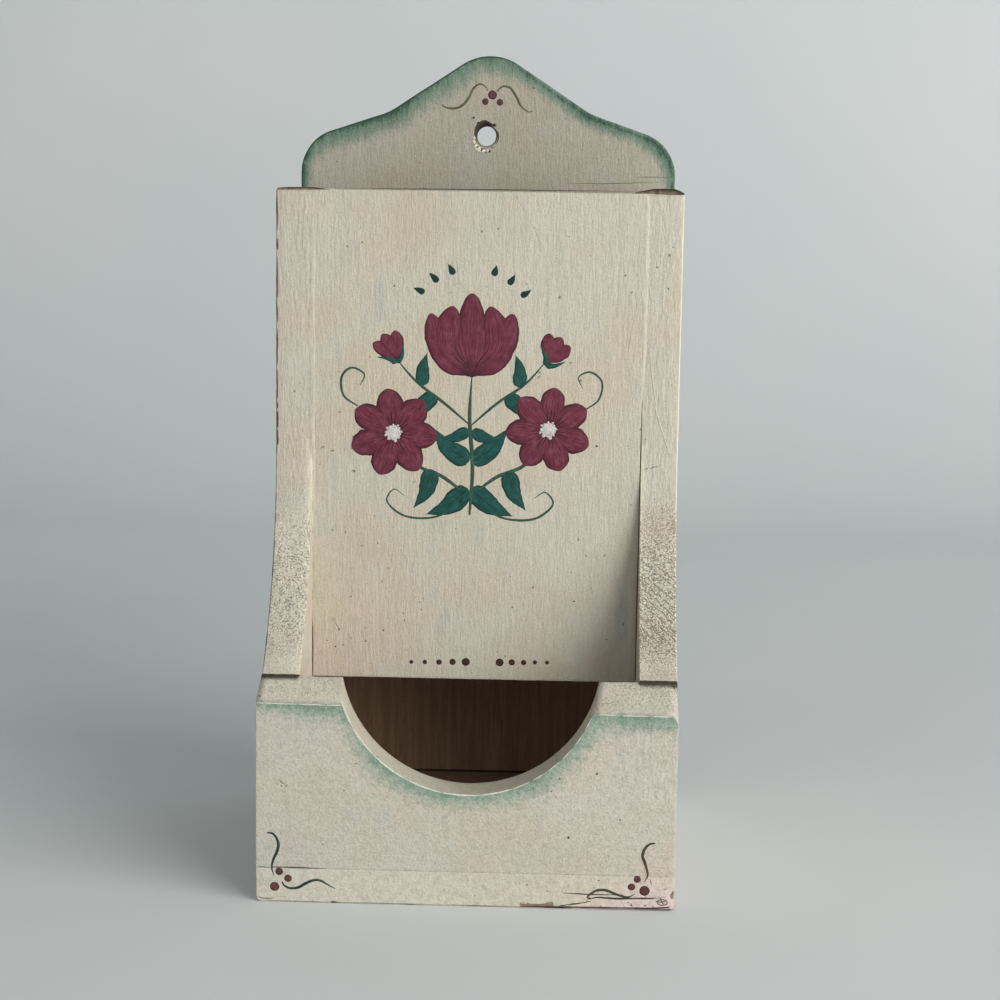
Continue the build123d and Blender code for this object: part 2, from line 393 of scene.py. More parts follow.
def arc(centre, radius, start, end, step=STEP):
    """Points on an arc between two angles in radians, without the last one."""
    count = max(2, ceil(abs(end - start) * radius / step))
    return [(centre[0] + radius * cos(start + (end - start) * k / count),
             centre[1] + radius * sin(start + (end - start) * k / count)) for k in range(count)]


def circle(centre, radius, count, first=0.0):
    """Points round a circle, whose radius may be a function of the angle."""
    reach = radius if callable(radius) else lambda angle: radius
    angles = [2 * pi * (k + first) / count for k in range(count)]
    return [(centre[0] + reach(a) * cos(a), centre[1] + reach(a) * sin(a)) for a in angles]


def rectangle(low, high):
    """The corners of a box's front."""
    return [(low[0], low[2]), (high[0], low[2]), (high[0], high[2]), (low[0], high[2])]


def polygon(corners):
    """A closed outline of straight edges."""
    return [point for start, end in zip(corners, corners[1:] + corners[:1]) for point in line(start, end)]


def rounded(corners, radii):
    """A closed outline whose corners are tangent arcs, or sharp where the radius is 0."""
    outline = []
    stops = []
    for index, corner in enumerate(corners):
        here = Vector(corner)
        before = (Vector(corners[index - 1]) - here).normalized()
        after = (Vector(corners[(index + 1) % len(corners)]) - here).normalized()
        radius = radii[index]
        if not radius:
            stops.append((here, here, [corner]))
            continue
        half = before.angle(after) / 2
        reach = radius / tan(half)
        start, end = here + before * reach, here + after * reach
        centre = here + (before + after).normalized() * (radius / sin(half))
        first = atan2(*(start - centre).yx)
        turn = (atan2(*(end - centre).yx) - first + pi) % (2 * pi) - pi
        stops.append((start, end, arc(centre, radius, first, first + turn) + [tuple(end)]))
    for (_, _, points), (following, _, _) in zip(stops, stops[1:] + stops[:1]):
        outline += points[:-1] + line(points[-1], following)
    return outline


def wobble(u, v, w, size):
    """Smooth noise from 0 to 1 with features of a given size."""
    return 0.5 + 0.5 * noise.noise(Vector((u, v, w)) / size)


def inward(outline):
    """For each point of a counter-clockwise outline, the direction into the wood, longer at corners."""
    points = np.array(outline)
    ahead = np.roll(points, -1, 0) - points
    ahead /= np.linalg.norm(ahead, axis=1)[:, None]
    behind = np.roll(ahead, 1, 0)
    left_ahead = np.stack([-ahead[:, 1], ahead[:, 0]], 1)
    left_behind = np.stack([-behind[:, 1], behind[:, 0]], 1)
    middle = left_ahead + left_behind
    middle /= np.maximum(np.linalg.norm(middle, axis=1)[:, None], 0.2)
    return middle / np.maximum((middle * left_ahead).sum(1)[:, None], 0.5)


def distance_to(points, outline):
    """How far each point is from a closed outline."""
    start = np.array(outline)
    end = np.roll(start, -1, 0)
    run = end - start
    length = (run ** 2).sum(1)
    best = np.full(len(points), 1e9)
    for a, d, n in zip(start, run, length):
        share = np.clip(((points - a) @ d) / n, 0, 1)
        best = np.minimum(best, np.linalg.norm(points - a - share[:, None] * d, axis=1))
    return best


def inside(points, outline):
    """Which points lie inside a closed outline."""
    a = np.array(outline)
    b = np.roll(a, -1, 0)
    hits = np.zeros(len(points), bool)
    for (x0, y0), (x1, y1) in zip(a, b):
        crosses = (y0 > points[:, 1]) != (y1 > points[:, 1])
        if y0 != y1:
            hits ^= crosses & (points[:, 0] < (x1 - x0) * (points[:, 1] - y0) / (y1 - y0) + x0)
    return hits


def counter_clockwise(outline):
    points = np.array(outline)
    x, y = points.T
    turned = (x * np.roll(y, -1) - np.roll(x, -1) * y).sum() < 0
    return points[::-1] if turned else points


class Board:
    """A worn board: an outline with eased arrises between two faces, seen from outside."""

    def __init__(self, node, place, outline, faces, back_outline=None, ease=None, chips=()):
        self.node, self.place = node, place
        self.front = counter_clockwise(outline)
        self.back = counter_clockwise(back_outline) if back_outline else self.front
        self.depths = faces
        self.sign = 1.0 if faces[1] > faces[0] else -1.0
        self.ease = ease
        self.chips = chips
        self.mesh = bmesh.new()
        self.marks = {"edge": [], "zone": [], "groove": []}
        self.holes, self.grooves, self.dips = [], [], []

    def vertex(self, u, v, w, edge, zone, groove=0.0):
        for key, value in zip(self.marks, (edge, zone, groove)):
            self.marks[key].append(value)
        return self.mesh.verts.new([c * MM for c in self.place(u, v, w)])

    def face(self, corners):
        if len(set(corners)) == len(corners) and self.mesh.faces.get(corners) is None:
            self.mesh.faces.new(corners)

    def bridge(self, first, second):
        for k in range(len(first)):
            after = (k + 1) % len(first)
            self.face([first[k], first[after], second[after], second[k]])

    def eases(self, outline, back, thickness):
        """How far each point of an arris is rounded, with its chips."""
        ease = np.array([self.ease(u, v, back) * (0.65 + 0.7 * wobble(u, v, self.depths[0], 9.0))
                         for u, v in outline])
        for u, v, reach, amount in () if back else self.chips:
            spread = np.hypot(outline[:, 0] - u, outline[:, 1] - v) / reach
            ease += amount * np.exp(-spread ** 2)
        return np.clip(ease, 0.05, thickness * 0.45)

    def rim(self):
        """The arrises and the sides, as rings from the front face round to the back face."""
        near, far = self.depths
        thickness = abs(far - near)
        near_ease = self.eases(self.front, False, thickness)
        far_ease = self.eases(self.back, True, thickness)
        count = len(self.front)
        rings = []

        def wear(depth):
            most = np.minimum(0.10, near_ease * 0.45)
            return most * np.array([wobble(u * 1.7, v * 1.7, depth, 5.0) for u, v in self.front])

        def add(inset, depth, zone):
            share = np.abs(depth - near) / thickness
            outline = self.front + (self.back - self.front) * share[:, None]
            points = outline + inward(outline) * inset[:, None]
            verts = [self.vertex(u, v, d, i, zone) for (u, v), d, i in zip(points, depth, inset)]
            rings.append((points, verts))

        def quarter(ease, base, into, zone, order):
            """The rounding of one arris, from the face to the side or back again."""
            for turn in order:
                inset = ease * (1 - sin(turn)) + wear(base) * sin(turn)
                add(inset, base + into * ease * (1 - cos(turn)), zone if turn == 0 else RIM)

        turns = [0.0, pi / 6, pi / 3, pi / 2]
        add(near_ease + FACE_MARGIN, np.full(count, near), FRONT)
        quarter(near_ease, near, self.sign, FRONT, turns)
        sides = max(1, round(thickness / SIDE_STEP))
        flat = thickness - near_ease - far_ease
        for k in range(1, sides):
            add(wear(near + k), near + self.sign * (near_ease + flat * k / sides), RIM)
        quarter(far_ease, far, -self.sign, BACK, turns[::-1])
        add(far_ease + FACE_MARGIN, np.full(count, far), BACK)
        self.chain([verts for _, verts in rings])
        return rings[0], rings[-1]

    def ring(self, points, w, zone, soiled=0.0):
        return [self.vertex(u, v, w, FAR_FROM_EDGE, zone, soiled) for u, v in points]

    def chain(self, rings):
        for first, second in zip(rings, rings[1:]):
            self.bridge(first, second)

    def bore(self, centre, radius, torn):
        """A hole right through, whose front rim is torn out by torn(angle)."""
        near, far = self.depths
        lip, sides = 0.25, 40

        def points(extra, share):
            return circle(centre, lambda angle: radius + extra + share * torn(angle), sides)

        outer, last = points(lip + 0.3, 1.0), points(lip, 0.0)
        rings = [self.ring(outer, near, FRONT), self.ring(points(lip, 1.0), near, FRONT, 0.9)]
        last_ring = self.ring(last, far, BACK)
        for share, depth in ((0.6, near + self.sign * lip), (0.2, near + self.sign * 1.3),
                             (0.0, (near + far) / 2), (0.0, far - self.sign * lip)):
            rings.append(self.ring(points(0.0, share), depth, BORE))
        self.chain(rings + [last_ring])
        self.holes += [(outer, rings[0], FRONT), (last, last_ring, BACK)]

    def seat(self, centre):
        """A recess in the back face, with a brad's head in it."""
        base, into, sides = self.depths[1], -self.sign, 20
        outer = circle(centre, SEAT_RADIUS + SEAT_LIP, sides)
        rings = [self.ring(outer, base, BACK)]
        for deep in (SEAT_LIP, SEAT_DEPTH):
            rings.append(self.ring(circle(centre, SEAT_RADIUS, sides), base + into * deep, BORE))
        self.chain(rings)
        self.face(rings[-1])
        self.holes.append((outer, rings[0], BACK))

    def dip(self, centre, radius, depth):
        """A shallow dent in the front face, as over a filled brad."""
        self.dips.append((centre, radius, depth))

    def groove(self, points, width, depth):
        """A crack or scratch along points of the front face."""
        self.grooves.append((points, width, depth))

    def groove_lines(self, points, width, deep):
        """Five lines of (u, v, depth, mark) along one groove, the middle one sunk."""
        path = []
        corners = [Vector(p) for p in points]
        for a, b in zip(corners, corners[1:]):
            count = max(1, ceil((b - a).length / GROOVE_STEP))
            path += [a.lerp(b, k / count) for k in range(count)]
        path.append(corners[-1])
        for offset in GROOVE_LANES:
            lane = []
            for k, p in enumerate(path):
                tangent = (path[min(k + 1, len(path) - 1)] - path[max(k - 1, 0)]).normalized()
                taper = sin(pi * (k + 0.5) / len(path)) ** 0.5
                shift = offset * width / 2 * max(taper, 0.35) + 0.2 * (wobble(p.x, p.y, 3.0, 1.3) - 0.5)
                mark = taper if offset == 0.0 else 0.0
                lane.append((p.x - tangent.y * shift, p.y + tangent.x * shift, deep * mark, mark))
            yield lane

    def fill(self, ring, zone):
        """Covers one face with triangles, round its holes and along its grooves."""
        depth, into = (self.depths[1], -self.sign) if zone == BACK else (self.depths[0], self.sign)
        outline = self.back if zone == BACK else self.front
        outer, verts = ring
        known, vertices = [tuple(p) for p in outer], list(verts)
        edges = [(k, (k + 1) % len(outer)) for k in range(len(outer))]
        holes = [hole for hole in self.holes if hole[2] == zone]
        taken = []

        def put(points, sunk, marks, clearance):
            for (u, v), deep, mark, away in zip(points, sunk, marks, distance_to(np.array(points), outline)):
                known.append((u, v))
                vertices.append(self.vertex(u, v, depth + into * deep, away, zone, mark))
                taken.append(((u, v), clearance))

        for points, ring_vertices, _ in holes:
            start = len(known)
            known += points
            vertices += ring_vertices
            edges += [(start + k, start + (k + 1) % len(points)) for k in range(len(points))]
            taken += [(point, 1.1) for point in points]
        if zone == FRONT:
            for groove in self.grooves:
                for lane in self.groove_lines(*groove):
                    edges += [(len(known) + k, len(known) + k + 1) for k in range(len(lane) - 1)]
                    put([(u, v) for u, v, *_ in lane], [p[2] for p in lane], [p[3] for p in lane], 0.75)
            for centre, radius, deep in self.dips:
                for share, count in DIP_RINGS:
                    sunk = deep * (0.0 if share > 1.2 else cos(share / 1.5 * pi / 2))
                    put(circle(centre, radius * share, count, share), [sunk] * count, [0.0] * count, 1.0)
        low, high = outer.min(0), outer.max(0)
        columns = np.arange(low[0], high[0], FACE_STEP)
        rows = np.arange(low[1], high[1], FACE_STEP * 0.87)
        grid = np.array([(u + (FACE_STEP / 2 if odd % 2 else 0.0), v)
                         for odd, v in enumerate(rows) for u in columns])
        grid = grid[inside(grid, outer)]
        grid = grid[distance_to(grid, outer) > FACE_STEP * 0.55]
        for points, _, _ in holes:
            grid = grid[~inside(grid, points)]
        for (u, v), clearance in taken:
            grid = grid[np.hypot(grid[:, 0] - u, grid[:, 1] - v) > clearance]
        away = distance_to(grid, outline)
        put(grid, [0.05 * wobble(u, v, depth, 14.0) * min(1.0, e / 6.0) for (u, v), e in zip(grid, away)],
            [0.0] * len(grid), 0.0)
        out, _, faces, origin, _, _ = delaunay_2d_cdt([Vector(p) for p in known], edges, [], 1, 1e-5)
        made = [vertices[sources[0]] if sources else self.vertex(point.x, point.y, depth, 1.0, zone)
                for point, sources in zip(out, origin)]
        middles = np.array([np.mean([out[k] for k in corners], 0) for corners in faces])
        keep = np.ones(len(faces), bool)
        for points, _, _ in holes:
            keep &= ~inside(middles, points)
        for corners, kept in zip(faces, keep):
            if kept:
                self.face([made[k] for k in corners])

    def build(self, material, slot, paint):
        """Makes the mesh, marks it for its material and puts it in the CAD node's place."""
        first, last = self.rim()
        self.fill(first, FRONT)
        self.fill(last, BACK)
        bmesh.ops.recalc_face_normals(self.mesh, faces=self.mesh.faces)
        edge, zone, groove = (np.array(values) for values in self.marks.values())
        xyz = np.array([tuple(v.co) for v in self.mesh.verts]) / MM
        marks = dict.fromkeys(("green", "bare", "chip", "dirt", "end_grain", "worn", "pink"), 0.0)
        marks.update(paint(*xyz.T, patchy(xyz, 6.0), edge, zone, groove))
        return make_piece(f"painted_{self.node}", self.mesh, marks, material, self.node)


def mesh_object(name, mesh, material):
    """A smoothly shaded object of one material."""
    data = bpy.data.meshes.new(name)
    mesh.to_mesh(data)
    mesh.free()
    for face in data.polygons:
        face.use_smooth = True
    data.materials.append(material)
    return placed(name, data)


def make_piece(name, mesh, marks, material, node=None):
    """A piece of the holder, with a mark at each point for its material."""
    piece = mesh_object(name, mesh, material)
    for key, values in marks.items():
        layer = piece.data.attributes.new(key, "FLOAT", "POINT")
        layer.data.foreach_set("value", np.array(np.broadcast_to(values, len(layer.data)), np.float32))
    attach(piece, "root")
    if node:
        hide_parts(node)
    return piece


def weave(mesh, rows, flipped=False):
    """Joins rows of points with quads."""
    for one, other in zip(rows, rows[1:]):
        for corners in zip(one, one[1:], other[1:], other):
            mesh.faces.new(corners[::-1] if flipped else corners)


def smooth_path(points, step):
    """A smooth curve through points, evenly sampled."""
    corners = [Vector(p) for p in points]
    if len(corners) == 2:
        corners.insert(1, (corners[0] + corners[1]) / 2)
    padded = [2 * corners[0] - corners[1]] + corners + [2 * corners[-1] - corners[-2]]
    path = []
    for a, b, c, d in zip(padded, padded[1:], padded[2:], padded[3:]):
        count = max(2, ceil((c - b).length / step))
        for k in range(count):
            t = k / count
            path.append(0.5 * (2 * b + (c - a) * t + (2 * a - 5 * b + 4 * c - d) * t * t
                               + (3 * b - a - 3 * c + d) * t ** 3))
    path.append(corners[-1])
    return path


def ramp(values, low, high):
    """Smooth step from 0 at low to 1 at high, either way round."""
    share = np.clip((values - low) / (high - low), 0, 1)
    return share * share * (3 - 2 * share)


def fade(values, low, high):
    """Smooth step from 1 at low to 0 at high."""
    return 1 - ramp(values, low, high)


def patchy(xyz, size):
    """Noise from -1 to 1 at each point."""
    return np.array([noise.noise(Vector(p) / size) for p in xyz])


def at_xz(u, v, w):
    return (u, w, v)


def at_yz(u, v, w):
    return (w, u, v)


def brads_at(node):
    """The middle of each brad of a CAD node."""
    mesh = bmesh.new()
    mesh.from_mesh(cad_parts[node].data)
    left, middles = set(mesh.verts), []
    while left:
        stack, island = [left.pop()], []
        while stack:
            vertex = stack.pop()
            island.append(vertex.co / MM)
            near = {edge.other_vert(vertex) for edge in vertex.link_edges} & left
            left -= near
            stack += near
        middles.append([(min(axis) + max(axis)) / 2 for axis in zip(*island)])
    mesh.free()
    return sorted(middles)


def back_outline():
    """The back board's elevation, with the curves of its crest."""
    corners = [
        (-half_width, back_low[2]),
        (half_width, back_low[2]),
        (half_width, crest_shoulder_z),
        (crest_x + crest_valley_x, crest_valley_z),
        (crest_x, crest_peak_z),
        (crest_x - crest_valley_x, crest_valley_z),
        (-half_width, crest_shoulder_z),
    ]
    return rounded(corners, (0, 0, *crest_radii))


def build_back_board():
    board = Board("back_board", at_xz, back_outline(), (back_face_y, back_y),
                  ease=lambda u, v, back: 0.45 if v > body_z else 0.4)

    def torn(angle):
        """The rim is torn out above the hole and ragged all round."""
        upper = 0.85 * exp(-((angle - 1.7) / 0.5) ** 2) + 0.35 * exp(-((angle - 2.6) / 0.4) ** 2)
        return upper + 0.35 * (wobble(3 * cos(angle), 3 * sin(angle), 1.0, 0.9) - 0.5)

    board.bore((hanging_hole_x, hanging_hole_z), hanging_hole_radius - 0.25, torn)
    for x, _, z in brads_at("back_board_brads"):
        board.seat((x, z))
    # The first groove runs along the crest's foot and carries a dark line of painted shade where the crest
    # meets the body's top; the others are cracks.
    board.groove([(-43.6, 151.9), (-20.0, 152.0), (10.0, 152.1), (43.6, 152.2)], width=0.5, depth=0.02)
    board.groove([(16.9, 153.6), (22.2, 153.8), (29.4, 153.9), (36.6, 154.25), (44.2, 154.45)],
                 width=0.30, depth=0.12)
    board.groove([(34.7, 155.45), (38.9, 155.6), (44.2, 155.6)], width=0.28, depth=0.10)

    def paint(x, y, z, rough, edge, zone, groove):
        foot = fade(z, body_z + 1.0, body_z + 11.0)
        spread = np.interp(x, (-45.0, -20.0, -8.0, 4.0, 11.0, 34.0, 39.0, 45.0),
                           (1.5, 1.5, 1.2, 1.3, 2.7, 2.8, 1.9, 1.6))
        reach = np.interp(x, (-45.0, -14.0, 4.0, 11.0, 34.0, 39.0, 45.0), (2.2, 1.7, 1.6, 1.8, 1.8, 2.2, 2.4))
        away = spread * (edge * (1 + 0.9 * foot) - reach - 0.4 * rough) - 0.3
        right_slope = x > 6.0
        away = np.where(right_slope & (edge < 1.2), np.maximum(away, -1.4 - 1.4 * edge), away)
        green = np.where(zone == FRONT, GREEN_EDGE - away, NO_GREEN)
        green = np.where((zone == RIM) & (z > body_z), GREEN_EDGE + np.where(right_slope, 1.6, 4.2), green)
        green = np.where((zone == BACK) & (z > body_z), GREEN_EDGE - 3.2 - 2.0 * edge, green)
        bare = np.where(zone == FRONT, fade(z, body_z - 14 + 3 * rough, body_z - 6 + 3 * rough), 0.0)
        bare = np.where(zone == BACK, ramp(edge, 1.2, 3.2 + rough), bare)
        upper = ramp(z, hanging_hole_z - 2.0, hanging_hole_z + 1.0)
        dirt = np.where((zone == BORE) & (z > body_z), 0.35 + 0.6 * upper, 0.0)
        by_hole = np.hypot(x - hanging_hole_x, z - hanging_hole_z) < 5.0
        # Grooves carry dirt, and the one along the crest's foot carries painted shade.
        groove_dirt_and_shade = groove * np.where(by_hole, 0.7 + 0.3 * upper, 0.9)
        pink = 0.8 * ramp(x, 14.0, 20.0) * ramp(z, 151.8, 152.3) * fade(z, 153.2, 153.8)
        pink = np.maximum(pink, 0.5 * fade(np.hypot(x, z - 173.5), 2.0, 8.0))
        return {"green": np.where(zone == BORE, NO_GREEN, green), "bare": np.where(zone == BORE, 1.0, bare),
                "dirt": np.maximum(dirt, groove_dirt_and_shade), "pink": pink}

    board.build(PAINT_CREST, "painted_wood", paint)


def build_side_board(side):
    swoop_depth = panel_y - front_back_y
    ledge_z = ledge_back_left_z if side < 0 else ledge_back_right_z
    start_z = ledge_z + sqrt(swoop_radius ** 2 - (swoop_radius - swoop_depth) ** 2)
    foot_gap = 0.009   # radians by which the sweep ends above the ledge's back edge
    first = -acos((swoop_radius - swoop_depth) / swoop_radius) + foot_gap
    centre = (panel_y - swoop_radius, start_z)
    fine_length, fine_step = 2.1, 0.3
    foot = first + fine_length / swoop_radius
    corners = [
        (panel_y, body_z),
        (back_face_y, body_z),
        (back_face_y, floor_z),
        (front_back_y, floor_z),
        (front_back_y, ledge_z - 1.2),
        (front_back_y + 0.10, ledge_z - 0.15),
    ]
    outline = arc(centre, swoop_radius, first, foot, fine_step) + arc(centre, swoop_radius, foot, 0.0)
    outline += line((panel_y, start_z), corners[0])
    for start, end in zip(corners, corners[1:]):
        outline += line(start, end)
    outline.append(corners[-1])

    def ease(u, v, back):
        top = v > body_z - 0.5
        if not back:
            return 0.7 if top and u < panel_y + 1.0 else 0.32
        return 0.08 if v > start_z and u < panel_y + 1.0 else 0.22

    name = "left_side_board" if side < 0 else "right_side_board"
    grain_low_z, grain_top_z, grain_share, worn_share = (
        (64.0, 100.0, 0.72, 0.58) if side < 0 else (64.0, 98.0, 0.85, 0.52))
    board = Board(name, at_yz, outline, (side * half_width, side * inner_half_width), ease=ease)
    brads = [(y, z) for x, y, z in brads_at("front_panel_brads") if x * side > 0]
    for place in brads:
        board.dip(place, radius=1.3, depth=0.10)

    def paint(x, y, z, rough, edge, zone, groove):
        deep = np.minimum(ramp(y, panel_back_y - 1, panel_back_y + 1),
                          fade(z, body_z - 11 + 3 * rough, body_z - 5 + 3 * rough))
        tray = fade(y, panel_y - 1, panel_y + 1) * fade(z, 28 + 3 * rough, 36 + 3 * rough)
        bare = np.where(zone == BACK, np.maximum(deep, tray), 0.0)
        front_edge = (zone == RIM) & (y < panel_y + ON_EDGE)
        end_grain = 0.12 + 0.75 * fade(z, grain_low_z, grain_top_z + 8 * rough) * (
            0.45 + 0.55 * ramp(z, 49.0, 56.0))
        end_grain = np.where(front_edge, end_grain * grain_share, 0.0)
        # Where the side stands on the ledge, the dark line at the joint is painted shade in the gap.
        joint_shade = (zone == RIM) & (z < ledge_z + 0.1) & (y < front_back_y + ON_EDGE)
        # Along the left side's outer front arris the broken dark patches are painted shade; the right side's
        # outer arris is made paler.
        outer_arris = front_edge & (np.abs(x) > half_width - 0.2) & (z > ledge_z + 0.8)
        broken = 0.45 + 0.55 * np.clip(patchy(np.stack([x, y, z], 1), 2.2) * 3.0, 0, 1)
        dirt = np.where(joint_shade, 0.95, np.where(outer_arris & (side < 0), broken, 0.0))
        for brad_y, brad_z in brads:
            ring = np.abs(np.hypot(y - brad_y, z - brad_z) - 1.35)
            dirt = np.maximum(dirt, np.where(zone == FRONT, 0.42 * fade(ring, 0.0, 0.5), 0.0))
        inner = inner_half_width + ON_EDGE - np.abs(x)
        worn = np.where(front_edge, worn_share * fade(z, 72.0, 96.0), 0.0)
        worn = np.where(front_edge & (z < start_z) & (inner > 0), 0.75, worn)
        worn = np.maximum(worn, np.where(front_edge & (z < ledge_z + 1.6), 0.5, 0.0))
        worn = np.maximum(worn, np.where(outer_arris & (side > 0), 0.9, 0.0))
        # The paler cream on the side boards' inner faces in front of the panel is painted light.
        inside_face = (zone == BACK) & (y < panel_y + 1)
        worn = np.where(inside_face, 0.45, worn)
        return {"bare": bare, "dirt": np.maximum(dirt, groove), "end_grain": end_grain,
                "worn": worn * (1 - np.clip(dirt * 2, 0, 1)), "pink": np.where(inside_face, 0.45, 0.3)}

    board.build(PAINT_UP, "painted_wood", paint)


LEFT_SEAM_OPEN_Z = 54.0      # below this the panel's left seam is an open crack
RIGHT_SEAM_OPEN_Z = 106.0


def build_front_panel():
    low, high = panel_low, panel_high
    outline = polygon(rectangle(low, high))

    def ease(u, v, back):
        if not back and abs(u) > high[0] - 0.4 and v > low[2] + 1:
            return 0.08 if v > (LEFT_SEAM_OPEN_Z if u < 0 else RIGHT_SEAM_OPEN_Z) else 0.24
        return 0.26

    board = Board("front_panel", at_xz, outline, (panel_y, panel_back_y), ease=ease)
    board.groove([(8.2, 150.2), (9.2, 148.6), (10.0, 146.9)], width=0.28, depth=0.12)
    board.groove([(11.1, 145.4), (12.2, 143.3), (13.2, 140.8)], width=0.28, depth=0.12)
    board.groove([(-31.8, 54.9), (-30.6, 53.0)], width=0.26, depth=0.10)

    def paint(x, y, z, rough, edge, zone, groove):
        inner = np.minimum(z - low[2], high[2] - z)
        bare = np.where(zone == BACK, ramp(inner, 4 + 2 * rough, 9 + 2 * rough), 0.0)
        seam = (zone == RIM) & (np.abs(x) > high[0] - ON_EDGE) & (z > low[2] + ON_EDGE)
        closed = np.where(x < 0, ramp(z, LEFT_SEAM_OPEN_Z, LEFT_SEAM_OPEN_Z + 4),
                          ramp(z, RIGHT_SEAM_OPEN_Z - 6, RIGHT_SEAM_OPEN_Z + 4))
        # In the open seams the panel's edges are darkened with painted shade.
        dirt = np.where(seam, 0.9 * (1 - closed), 0.0)
        worn = np.where((zone == RIM) & (z < low[2] + ON_EDGE) & (y < panel_y + ON_EDGE), 0.8, 0.0)
        scratch = np.where(x < 0, groove, 0.3 * groove)
        # Darker towards the top of the panel, round its middle.
        darker_top_middle = 0.28 * ramp(z, 126.0, 144.0) * fade(np.abs(x + 4.0), 12.0, 26.0)
        # The darkening of the panel's lower right corner, beside the right side board, is painted shade.
        corner = 0.37 * ramp(x, 32.5, 36.3) * fade(z, 62.0, 92.0)
        dirt = np.maximum(dirt, np.where(zone == FRONT, np.maximum(darker_top_middle, corner), 0.0))
        return {"bare": bare, "dirt": np.maximum(dirt, scratch), "pink": 0.32 * fade(z, 46.0, 84.0),
                "worn": np.maximum(worn, groove * (x > 0) * 0.6)}

    board.build(PAINT_UP, "painted_wood", paint)


def build_seam_paint(side, lowest):
    """The paint that fills a seam beside the panel, as a low ridge down the front."""
    mesh = bmesh.new()
    step, top_gap, height, half = 1.2, 0.35, 0.11, 0.75
    rows = []
    count = int((body_z - top_gap - lowest) / step)
    for k in range(count + 1):
        z = lowest + step * k
        fade = min(1.0, 3.0 * (k + 0.2) / count, 0.5 + 4.0 * (count - k) / count)
        swell = 0.5 + 0.9 * wobble(side * 9.0, z, 0.0, 4.0)
        row = []
        for share in (-1.0, -0.6, -0.2, 0.2, 0.6, 1.0):
            lift = height * swell * fade * (1 - share ** 2) ** 1.5 - SUNK
            x = side * inner_half_width + half * share * fade
            row.append(mesh.verts.new((x * MM, (panel_y - lift) * MM, z * MM)))
        rows.append(row)
    weave(mesh, rows)
    name = "seam_paint_left" if side < 0 else "seam_paint_right"
    make_piece(name, mesh, {"worn": 0.45}, PAINT_UP)


def front_top(x, left_z, right_z):
    """The height of the front board's straight top edge at x."""
    return left_z + (right_z - left_z) * (x + half_width) / (2 * half_width)


def front_outline(left_z, right_z):
    """The front board's elevation, where its top is at the given heights at the two ends.

    Both faces have as many points on each stretch, so that they can be joined."""
    corner = 2.0
    side_count, corner_count, right_count, arc_count, left_count = 24, 4, 10, 52, 12
    rises = [front_top(cut_out_x + end * cut_out_radius, left_z, right_z) for end in (-1, 1)]
    left, right = [asin((cut_out_z - rise) / cut_out_radius) for rise in rises]
    turns = [2 * pi - right + (right + left - pi) * k / arc_count for k in range(arc_count + 1)]
    notch = [(cut_out_x + cut_out_radius * cos(t), cut_out_z + cut_out_radius * sin(t)) for t in turns]
    right_top = front_top(half_width, left_z, right_z)
    points = line((-half_width, floor_z), (half_width, floor_z))
    points += split((half_width, floor_z), (half_width, right_top - corner), side_count - 2)
    points += [(half_width - corner + corner * cos(a), right_top - corner + corner * sin(a))
               for a in (pi / 2 * k / corner_count for k in range(corner_count))]
    points += split((half_width - corner, right_top), notch[0], right_count)
    points += notch[:-1]
    points += split(notch[-1], (-half_width, left_z), left_count)
    points += split((-half_width, left_z), (-half_width, floor_z), side_count)
    return points


